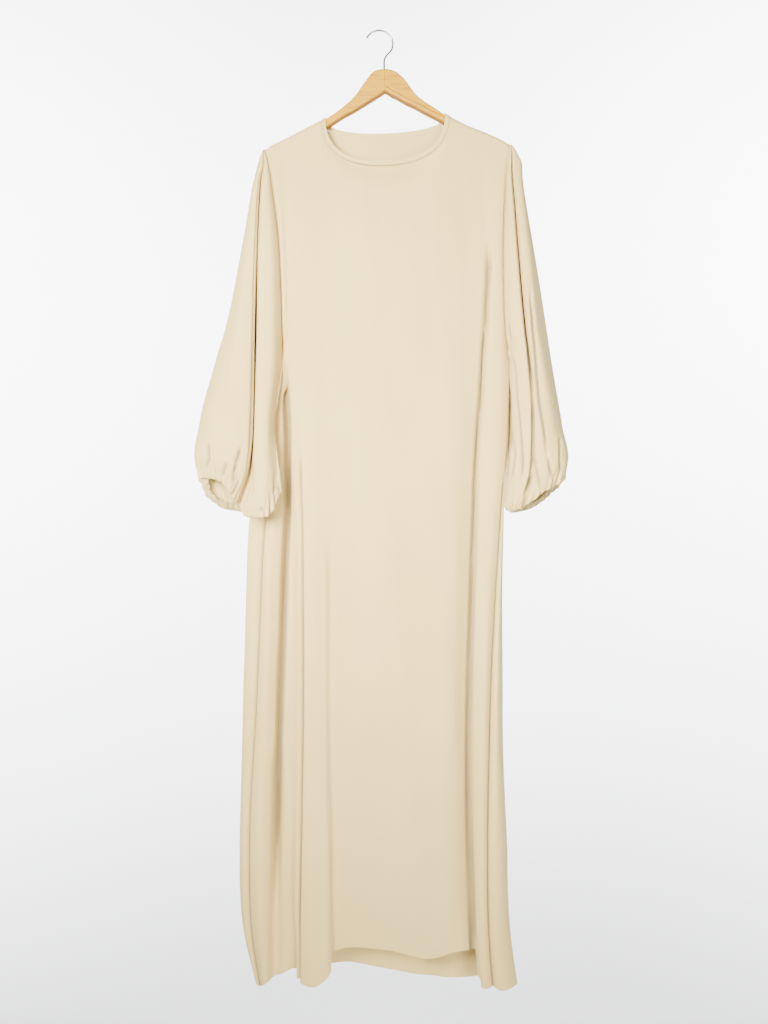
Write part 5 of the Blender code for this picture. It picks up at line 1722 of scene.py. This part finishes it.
class ABAYA_OT_studio(bpy.types.Operator):
    """Set up the backdrop, lights and camera"""

    bl_idname = "abaya.studio"
    bl_label = "Studio"

    def execute(self, context):
        settings = context.scene.abaya_studio
        self.backdrop(settings)
        self.lights(settings)
        self.camera(context, settings)
        return {"FINISHED"}

    def backdrop(self, settings):
        """Cove: a flat floor that turns up through a quarter circle into an upright back far behind."""
        turn = np.linspace(0, np.pi / 2, COVE_STEPS)
        y = np.concatenate([[COVE_FRONT], COVE_BACK - COVE_BEND + COVE_BEND * np.sin(turn), [COVE_BACK]])
        z = np.concatenate([[COVE_FLOOR], COVE_FLOOR + COVE_BEND * (1 - np.cos(turn)), [COVE_TOP]])
        x = np.linspace(-COVE_HALF_WIDTH, COVE_HALF_WIDTH, 3)
        rows = np.stack(np.broadcast_arrays(x[None], y[:, None], z[:, None]), axis=2)
        ids = grid_ids(rows.shape, None)
        material = material_once("pale backdrop", backdrop_material, settings)
        cove = mesh_object("backdrop", rows.reshape(-1, 3), quads(ids)[:, ::-1], material)

    def lights(self, settings):
        """Soft key light at the left, low fill at the right, two lights on the backdrop and an even room."""
        for name, setting, size, place, aim, spread in LIGHTS:
            light = bpy.data.lights.new(name, "AREA")
            light.shape = "RECTANGLE"
            light.size, light.size_y = size
            light.energy = getattr(settings, setting)
            light.spread = np.radians(spread)
            lamp = bpy.data.objects.new(name, light)
            lamp.location = place
            lamp.rotation_euler = (Vector(aim) - Vector(place)).to_track_quat("-Z", "Y").to_euler()
            bpy.context.scene.collection.objects.link(lamp)
        world = bpy.data.worlds.new("soft room")
        world.use_nodes = True
        background = world.node_tree.nodes["Background"]
        background.inputs["Color"].default_value = ROOM_COLOUR
        background.inputs["Strength"].default_value = settings.world
        bpy.context.scene.world = world

    def camera(self, context, settings):
        """Level camera in front of the garment, with the photograph's middle in the middle of its view."""
        camera = bpy.data.cameras.new("camera")
        camera.sensor_fit = "VERTICAL"
        camera.lens = camera.sensor_height * settings.distance / settings.view_height
        view = bpy.data.objects.new("camera", camera)
        view.location = (VIEW_CENTRE[0] * MM, -settings.distance, VIEW_CENTRE[1] * MM)
        view.rotation_euler = (np.pi / 2, 0, 0)
        context.scene.collection.objects.link(view)
        context.scene.camera = view


class ABAYA_PT_panel(bpy.types.Panel):
    """Buttons and settings of the abaya"""

    bl_label = "Abaya"
    bl_space_type = "VIEW_3D"
    bl_region_type = "UI"
    bl_category = "Abaya"

    def draw(self, context):
        for operator in OPERATORS:
            self.layout.operator(operator.bl_idname)
        for group, name in GROUPS.items():
            box = self.layout.box()
            for key in group.__annotations__:
                box.prop(getattr(context.scene, name), key)


GROUPS = {
    ClothSettings: "abaya_cloth",
    SewingSettings: "abaya_sewing",
    HangerSettings: "abaya_hanger",
    StudioSettings: "abaya_studio",
}
OPERATORS = (
    ABAYA_OT_hanger,
    ABAYA_OT_body,
    ABAYA_OT_sleeves,
    ABAYA_OT_neckband,
    ABAYA_OT_sewing,
    ABAYA_OT_studio,
)


def register():
    """Add the settings, operators and panel."""
    for group, name in GROUPS.items():
        bpy.utils.register_class(group)
        setattr(bpy.types.Scene, name, bpy.props.PointerProperty(type=group))
    for shown in (*OPERATORS, ABAYA_PT_panel):
        bpy.utils.register_class(shown)


def unregister():
    """Take the settings, operators and panel away."""
    for shown in reversed((*OPERATORS, ABAYA_PT_panel)):
        bpy.utils.unregister_class(shown)
    for group, name in GROUPS.items():
        delattr(bpy.types.Scene, name)
        bpy.utils.unregister_class(group)


def main():
    """Build everything."""
    register()
    bpy.ops.abaya.hanger()
    bpy.ops.abaya.body()
    bpy.ops.abaya.sleeves()
    bpy.ops.abaya.neckband()
    bpy.ops.abaya.sewing()
    bpy.ops.abaya.studio()


if __name__ == "__main__":
    main()
